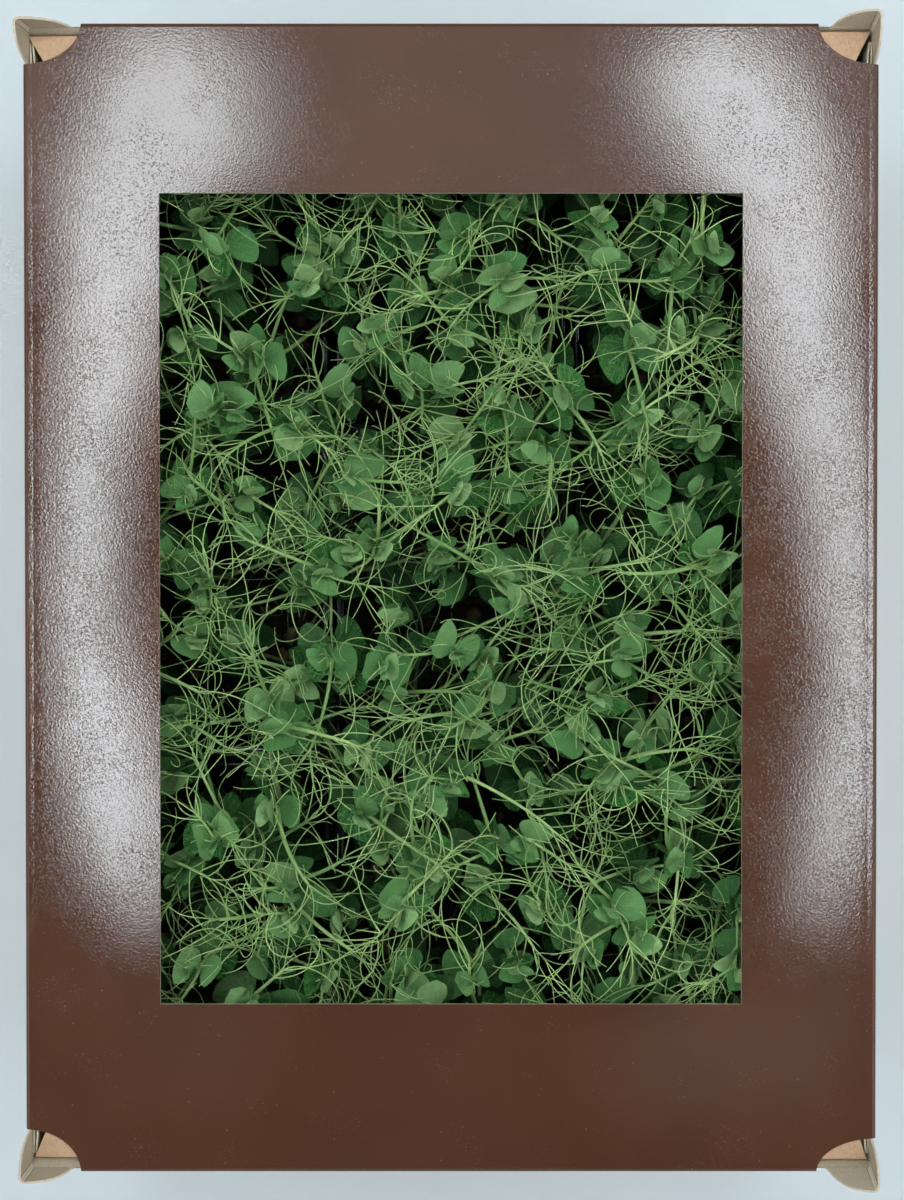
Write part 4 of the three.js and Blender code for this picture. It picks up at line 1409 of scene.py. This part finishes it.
def grow_clump(settings, low, high, medium_top, rng):
    """The shoots of one punnet: stems, paired stipules, petioles and tendrils."""
    growth = Growth()
    feet, tips, stems = stem_routes(settings, low, high, medium_top, rng)
    n = len(stems)
    radii = np.linspace(*STEM_RADII, STEM_POINTS)[None] * MM * rng.uniform(0.85, 1.15, (n, 1))
    youth = np.broadcast_to(np.linspace(0.15, 0.6, STEM_POINTS), (n, STEM_POINTS))
    growth.add_stalks(tubes(stems, radii, 6), youth, rng)
    plane = rng.uniform(0, 2 * math.pi, n)
    heights = tips[:, 2] - feet[:, 2]
    for order, level in enumerate(LEVELS):
        below = level["below"] * rng.uniform(0.8, 1.2, n)
        nodes = points_along(stems, np.clip(1 - below / heights, 0.05, 1.0))
        way = plane + math.pi * order + rng.uniform(-0.5, 0.5, n)
        grow_pairs(growth, rng, settings, nodes, way, level)
        wanted = level["petioles"] * (0.62 + 0.9 * tangle_share(nodes))
        chosen = rng.uniform(0, 1, n) < wanted
        if chosen.any():
            grow_petioles(growth, rng, settings, nodes[chosen], way[chosen], level)
    grow_bud(growth, rng, tips)
    return growth


def grow_pairs(growth, rng, settings, nodes, way, level):
    """A pair of stipules at one level of every shoot, opened like a book along its spine."""
    n = len(nodes)
    spines = heading(way, np.radians(rng.uniform(*level["rise"], n)))
    sideways = unit(np.cross(spines, UPWARD))
    ups = np.cross(sideways, spines)
    ups = turn_about(ups, spines, rng.uniform(-1, 1, n) * level["roll"])
    lengths = settings.leaf_length * level["size"] * rng.uniform(0.80, 1.14, n)
    for side in (-1, 1):
        opening = np.radians(rng.uniform(*level["opening"], n))
        upright = rng.uniform(0, 1, n) < UPRIGHT_SHARE
        opening = np.where(upright, np.radians(rng.uniform(*UPRIGHT_OPENING, n)), opening)
        side_lengths = lengths * rng.uniform(0.92, 1.06, n)
        grids, uv = stipule_grids(rng, nodes, spines, ups, side, side_lengths, opening)
        youth = np.clip(level["youth"] + rng.normal(size=n) * 0.17, 0, 1)
        growth.add_grids(grids, uv, youth, rng.uniform(0, 1, n), LEAF_SLOT)


def grow_petioles(growth, rng, settings, nodes, way, level):
    """Petioles, each ending in a rachis that carries pairs of tendrils."""
    n = len(nodes)
    elevation = np.radians(rng.uniform(*PETIOLE_RISE, n))
    lengths = settings.petiole_length * level["petiole"] * rng.uniform(0.7, 1.25, n)
    direction = heading(way, elevation)
    shares = np.linspace(0, 1, PETIOLE_POINTS)
    sag = -UPWARD * rng.uniform(0.0, 0.3, (n, 1))
    swing = np.stack([-np.sin(way), np.cos(way), np.zeros(n)], axis=-1) * rng.uniform(-0.2, 0.2, (n, 1))
    routes = nodes[:, None] + lengths[:, None, None] * (
        direction[:, None] * shares[None, :, None] + (sag + swing)[:, None] * (shares**2)[None, :, None]
    )
    thick = np.linspace(*PETIOLE_RADII, PETIOLE_POINTS)[None] * MM * rng.uniform(0.8, 1.1, (n, 1))
    radii = thick * (0.45 + 0.55 * level["petiole"])
    youth = np.clip(0.5 + 0.4 * level["youth"] + rng.normal(size=n) * 0.12, 0, 1)
    growth.add_stalks(tubes(routes, radii, 6), youth, rng)
    ends = unit(routes[:, -1] - routes[:, -2])
    for stage, opening in TENDRIL_STAGES:
        starts = points_along(routes, np.full(n, stage))
        flat = unit(np.cross(ends, UPWARD) + 0.5 * rng.normal(size=(n, 3)))
        headings = unit(ends + flat * opening * rng.uniform(0.6, 1.4, (n, 1)))
        reach = settings.tendril_length * (0.45 + 0.5 * level["petiole"]) * rng.uniform(0.45, 1.2, n)
        grow_tendrils(growth, rng, starts, headings, reach, youth)


def grow_tendrils(growth, rng, starts, headings, lengths, youth, steps=17):
    """Thin tendrils that bend one way, some of them curling up at the end."""
    n = len(starts)
    bend = rng.uniform(*TENDRIL_BEND, n)
    coil = np.where(rng.uniform(0, 1, n) < COILED_SHARE, rng.uniform(*TENDRIL_COIL, n), UNCOILED)
    routes = wandering_routes(rng, starts, headings, lengths, bend, coil, steps)
    radii = np.linspace(*TENDRIL_RADII, steps)[None] * MM * rng.uniform(0.75, 1.05, (n, 1))
    growth.add_stalks(tubes(routes, radii, 3), np.clip(youth + 0.15, 0, 1), rng)


def grow_bud(growth, rng, tips):
    """The curled young tendrils at the tip of every shoot."""
    n = len(tips)
    for _ in range(BUD_TENDRILS):
        headings = unit(rng.normal(size=(n, 3)) + 1.2 * UPWARD)
        grow_tendrils(growth, rng, tips, headings, rng.uniform(*BUD_LENGTHS, n) * MM, np.ones(n), 9)


# --- Stage ----------------------------------------------------------------------------------------


def soft_light(name, middle, length, width, radiance):
    """A rectangular soft light that looks straight down, its length along Y."""
    data = bpy.data.lights.new(name, "AREA")
    data.shape = "RECTANGLE"
    data.size = width
    data.size_y = length
    data.energy = radiance * math.pi * length * width
    made = bpy.data.objects.new(name, data)
    made.location = middle
    made.visible_camera = False
    bpy.context.scene.collection.objects.link(made)
    return made


# The two curved strip lights, given by where they are seen mirrored in the lid: X of the outer edge, X of
# the inner edge, Y and brightness.
LEFT_STRIP = (
    (-112, -84, 203, 0.2), (-116, -76, 196, 0.8), (-121.5, -72, 187, 0.88), (-125.5, -69, 178, 0.88),
    (-129, -69, 160, 0.88), (-130.5, -69, 152, 0.95), (-132, -92, 140, 1), (-133, -100, 122, 1.05),
    (-133, -104, 104, 1.08), (-134, -106, 87, 1.08), (-135, -112, 69, 1.12), (-136, -118, 52, 1.15),
    (-136.5, -119, 34, 1.15), (-136.5, -120, -1, 1.12), (-136, -118, -18, 1.15), (-134.5, -113, -36, 1.2),
    (-134, -107, -53, 1.15), (-132, -104, -71, 1.05), (-128, -100, -88, 0.95), (-121, -98, -104, 0.75),
    (-114, -99, -116, 0.3), (-110, -100, -124, 0.0),
)
RIGHT_STRIP = (
    (104, 82, 203, 0.2), (111, 76, 196, 0.85), (117, 70, 187, 1), (123, 69, 178, 1),
    (130, 78, 160, 1), (132, 84, 152, 1), (134.5, 99, 140, 1.02), (134.5, 103, 122, 1.05),
    (135, 106, 104, 1.05), (139, 110, 87, 1), (142, 116, 69, 1), (145, 123, 52, 1),
    (147, 126, 34, 1), (150, 131, -1, 1), (151, 134, -18, 1), (151.5, 134, -36, 1),
    (151.5, 131, -53, 1), (150, 129, -71, 0.95), (145, 126, -88, 0.85), (139, 123, -104, 0.7),
    (134, 122, -116, 0.3), (131, 121, -124, 0.0),
)
# The faint sheens below them, and then all four with their names and radiance.
LEFT_SHEEN = ((-112, -60, -130, 0.0), (-110, -58, -142, 1), (-106, -62, -170, 1), (-100, -68, -200, 0.0))
RIGHT_SHEEN = ((146, 70, -128, 0.0), (146, 60, -142, 1), (140, 48, -170, 1), (120, 60, -200, 0.0))
STRIPS = (
    ("Left_strip", LEFT_STRIP, 15.3),
    ("Right_strip", RIGHT_STRIP, 15.3),
    ("Left_sheen", LEFT_SHEEN, 0.45),
    ("Right_sheen", RIGHT_SHEEN, 0.7),
)
COOL_WHITE = (0.91, 1.0, 1.05, 1.0)
# Share of the way across a strip, and brightness there: sharp outside, soft inside.
STRIP_PROFILE = ((-0.05, 0.0), (0.05, 1.0), (0.75, 1.0), (1.0, 0.5), (1.3, 0.0))

# The room's soft lights: name, place from the middle of the strips' height, length, width and radiance.
ROOM_LIGHTS = (
    ("Ceiling", (0.0, 0.52, 0.02), 0.45, 1.1, 1.0),
    ("Left room", (-1.1, -0.22, 0.0), 1.6, 0.7, 1.9),
    ("Right room", (1.1, -0.22, 0.0), 1.6, 0.7, 2.3),
    ("Front room", (0.0, -1.15, 0.0), 0.5, 1.2, 1.0),
)
ROOM_COLOUR = (0.80, 0.88, 1.0, 1.0)
ROOM_STRENGTH = 0.26
FLOOR_REACH = 3.0


def mirrored(settings, x, y):
    """Where a light at the lights' height has to be for the camera to see it mirrored at a place."""
    camera = bpy.context.scene.camera.location
    ratio = settings.light_height / settings.camera_height
    return x * MM + (x * MM - camera.x) * ratio, y * MM + (y * MM - camera.y) * ratio


def curved_strip(settings, name, places, radiance):
    """A curved glowing ribbon that looks down."""
    height = LID_HIGH.z + settings.light_height
    points, glow = [], []
    for outer, inner, y, brightness in places:
        for share, level in STRIP_PROFILE:
            points.append((*mirrored(settings, outer + (inner - outer) * share, y), height))
            glow.append(level * brightness)
    mesh = bpy.data.meshes.new(name)
    mesh.from_pydata(points, [], grid_faces(len(places), len(STRIP_PROFILE)))
    attribute = mesh.attributes.new("glow", "FLOAT", "POINT")
    attribute.data.foreach_set("value", glow)
    material = bpy.data.materials.new(name)
    material.use_nodes = True
    material.node_tree.nodes.clear()
    nodes = NodeTree(material.node_tree)
    level = nodes.add("ShaderNodeAttribute", attribute_name="glow").outputs["Fac"]
    strength = nodes.maths("MULTIPLY", level, radiance)
    emitter = nodes.add("ShaderNodeEmission", {"Color": COOL_WHITE, "Strength": strength})
    nodes.add("ShaderNodeOutputMaterial", {"Surface": emitter.outputs[0]})
    mesh.materials.append(material)
    made = add_object(name, mesh)
    made.visible_camera = False


# The longer side, in pixels, of an image that has the scale given in the settings.
PIXELS_LONG = 1200


def place_camera(settings):
    """The camera looks straight down on the lid, tilted a little towards its far edge."""
    data = bpy.data.cameras.new("Camera")
    data.sensor_width = 36.0
    data.lens = settings.scale * settings.camera_height / MM * data.sensor_width / PIXELS_LONG
    data.clip_start, data.clip_end = 0.01, 20.0
    made = bpy.data.objects.new("Camera", data)
    target = Vector((0.36 * MM, -0.07 * MM, LID_HIGH.z))
    back = Vector((0.0, math.sin(settings.tilt), math.cos(settings.tilt)))
    made.location = target + back * settings.camera_height
    made.rotation_euler = (-settings.tilt, 0.0, 0.0)
    bpy.context.scene.collection.objects.link(made)
    bpy.context.scene.camera = made


def soft_room(scene):
    """Even light from all around, shown without a film look."""
    world = bpy.data.worlds.new("Soft room")
    world.use_nodes = True
    background = world.node_tree.nodes["Background"]
    background.inputs["Color"].default_value = ROOM_COLOUR
    background.inputs["Strength"].default_value = ROOM_STRENGTH
    scene.world = world
    scene.view_settings.view_transform = "Standard"
    scene.view_settings.look = "None"


def lay_floor(settings):
    """The floor that the tray stands on."""
    mesh = bpy.data.meshes.new("floor")
    steps = np.linspace(-FLOOR_REACH, FLOOR_REACH, 5)
    mesh.from_pydata([(x, y, 0.0) for y in steps for x in steps], [], grid_faces(5, 5))
    mesh.materials.append(floor_surface(settings.floor_colour))
    add_object("floor", mesh)


# --- Operators ------------------------------------------------------------------------------------


class TRAY_OT_lid(bpy.types.Operator):
    """Builds the folded lid with its window and corner notches"""

    bl_idname = "pea_tray.lid"
    bl_label = "Lid"

    def execute(self, context):
        settings = context.scene.tray_boards
        materials = [
            printed_board(settings),
            plain_board("Lid lining", settings.grey_colour, settings.edge_colour, 0.3),
            plain_board("Lid cut edge", settings.edge_colour, settings.kraft_colour, 0.5),
        ]
        lid = lid_sheet(settings, materials)
        for ear in EARS:
            cut_away(lid, notch_cutter(settings, ear, materials))
        smooth(lid.data, 35)
        lid.name = "lid_board"
        ride_and_replace(lid, "lid")
        return {"FINISHED"}


class TRAY_OT_crate(bpy.types.Operator):
    """Builds the crate's folded boards, with its ears and flaps"""

    bl_idname = "pea_tray.crate"
    bl_label = "Crate"

    def execute(self, context):
        settings = context.scene.tray_boards
        edge = settings.edge_colour
        materials = [
            plain_board("Kraft board", settings.kraft_colour, edge, 0.35),
            plain_board("Grey board", settings.grey_colour, edge, 0.35),
            plain_board("Cut edge", edge, settings.kraft_colour, 0.5),
            plain_board("Crushed board", settings.crease_colour, edge, 0.9),
            plain_board("Scored line", settings.score_colour, edge, 0.3),
        ]
        # The inner ply's grey is darkened as painted shade: its face turns up and would look lighter than
        # the walls.
        painted_shade_backing = plain_board("Inner ply in painted shade", shaded(settings.grey_colour, INNER_PLY_PAINTED_SHADE), edge, 0.35)
        form = CrateForm(settings)
        boards = [crate_walls(form, materials), crate_floor(form, materials)]
        for side in (-1, 1):
            boards += [lining_ply(form, side, inset, spread, materials) for inset, spread in PLIES]
        for flap in FLAPS:
            boards.append(shelf_flap(form, flap, materials))
            boards.append(wall_backing(form, flap, [painted_shade_backing] * 3))
        crate = joined("crate_board", boards)
        smooth(crate.data, 35)
        ride_and_replace(crate, "crate")
        return {"FINISHED"}


class TRAY_OT_punnets(bpy.types.Operator):
    """Builds the black punnets"""

    bl_idname = "pea_tray.punnets"
    bl_label = "Punnets"

    def execute(self, context):
        settings = context.scene.tray_punnets
        plastic = black_plastic()
        for node in PUNNETS:
            mesh = punnet_mesh(f"{node}_thin", settings, *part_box(node))
            mesh.materials.append(plastic)
            ride_and_replace(add_object(f"{node}_thin", mesh), node)
        return {"FINISHED"}


class TRAY_OT_medium(bpy.types.Operator):
    """Builds the blocks of growing medium with their seeds"""

    bl_idname = "pea_tray.medium"
    bl_label = "Growing medium"

    def execute(self, context):
        settings = context.scene.tray_punnets
        materials = [moist_medium(), pea_seed()]
        for number, node in enumerate(MEDIA):
            rng = np.random.default_rng(400 + number)
            block = medium_object(f"{node}_crumbly", settings, *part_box(node), rng, materials)
            ride_and_replace(block, node)
        return {"FINISHED"}


class TRAY_OT_shoots(bpy.types.Operator):
    """Grows the pea shoots of every punnet"""

    bl_idname = "pea_tray.shoots"
    bl_label = "Pea shoots"

    def execute(self, context):
        settings = context.scene.tray_shoots
        boards = context.scene.tray_boards
        squeeze = squeeze_into_crate(boards, CrateForm(boards))
        materials = [leaf_surface(), green_stalk()]
        medium_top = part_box(MEDIA[0])[1].z
        for number, node in enumerate(CLUMPS):
            low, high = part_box(node)
            rng = np.random.default_rng(70 + number)
            growth = grow_clump(settings, low, high, medium_top, rng)
            clump = growth.build(f"{node}_grown", materials, squeeze)
            ride_and_replace(clump, node)
        return {"FINISHED"}


class TRAY_OT_stage(bpy.types.Operator):
    """Sets the camera, the lights and the floor"""

    bl_idname = "pea_tray.stage"
    bl_label = "Stage"

    def execute(self, context):
        settings = context.scene.tray_stage
        place_camera(settings)
        for name, places, radiance in STRIPS:
            curved_strip(settings, name, places, radiance)
        height = LID_HIGH.z + settings.light_height
        for name, (x, y, rise), length, width, radiance in ROOM_LIGHTS:
            soft_light(name, (x, y, height + rise), length, width, radiance)
        soft_room(context.scene)
        lay_floor(settings)
        return {"FINISHED"}


class TRAY_PT_panel(bpy.types.Panel):
    """Lists the tray's parts and their settings"""

    bl_idname = "TRAY_PT_panel"
    bl_label = "Pea Tray"
    bl_space_type = "VIEW_3D"
    bl_region_type = "UI"
    bl_category = "Pea Tray"

    def draw(self, context):
        scene = context.scene
        layout = self.layout
        for operator in OPERATORS:
            layout.operator(operator.bl_idname)
        for group in (scene.tray_boards, scene.tray_punnets, scene.tray_shoots, scene.tray_stage):
            column = layout.column()
            for name in group.__annotations__:
                column.prop(group, name)


OPERATORS = (TRAY_OT_lid, TRAY_OT_crate, TRAY_OT_punnets, TRAY_OT_medium, TRAY_OT_shoots, TRAY_OT_stage)
GROUP_CLASSES = (BoardSettings, PunnetSettings, ShootSettings, StageSettings)


def register():
    """Adds the panel, its operators and their settings."""
    for made in (*GROUP_CLASSES, *OPERATORS, TRAY_PT_panel):
        bpy.utils.register_class(made)
    bpy.types.Scene.tray_boards = PointerProperty(type=BoardSettings)
    bpy.types.Scene.tray_punnets = PointerProperty(type=PunnetSettings)
    bpy.types.Scene.tray_shoots = PointerProperty(type=ShootSettings)
    bpy.types.Scene.tray_stage = PointerProperty(type=StageSettings)


def unregister():
    """Takes them away again."""
    del bpy.types.Scene.tray_stage
    del bpy.types.Scene.tray_shoots
    del bpy.types.Scene.tray_punnets
    del bpy.types.Scene.tray_boards
    for made in reversed((*GROUP_CLASSES, *OPERATORS, TRAY_PT_panel)):
        bpy.utils.unregister_class(made)


def main():
    """Builds the whole tray on its stage."""
    register()
    bpy.ops.pea_tray.stage()
    bpy.ops.pea_tray.lid()
    bpy.ops.pea_tray.crate()
    bpy.ops.pea_tray.punnets()
    bpy.ops.pea_tray.medium()
    bpy.ops.pea_tray.shoots()


if __name__ == "__main__":
    main()
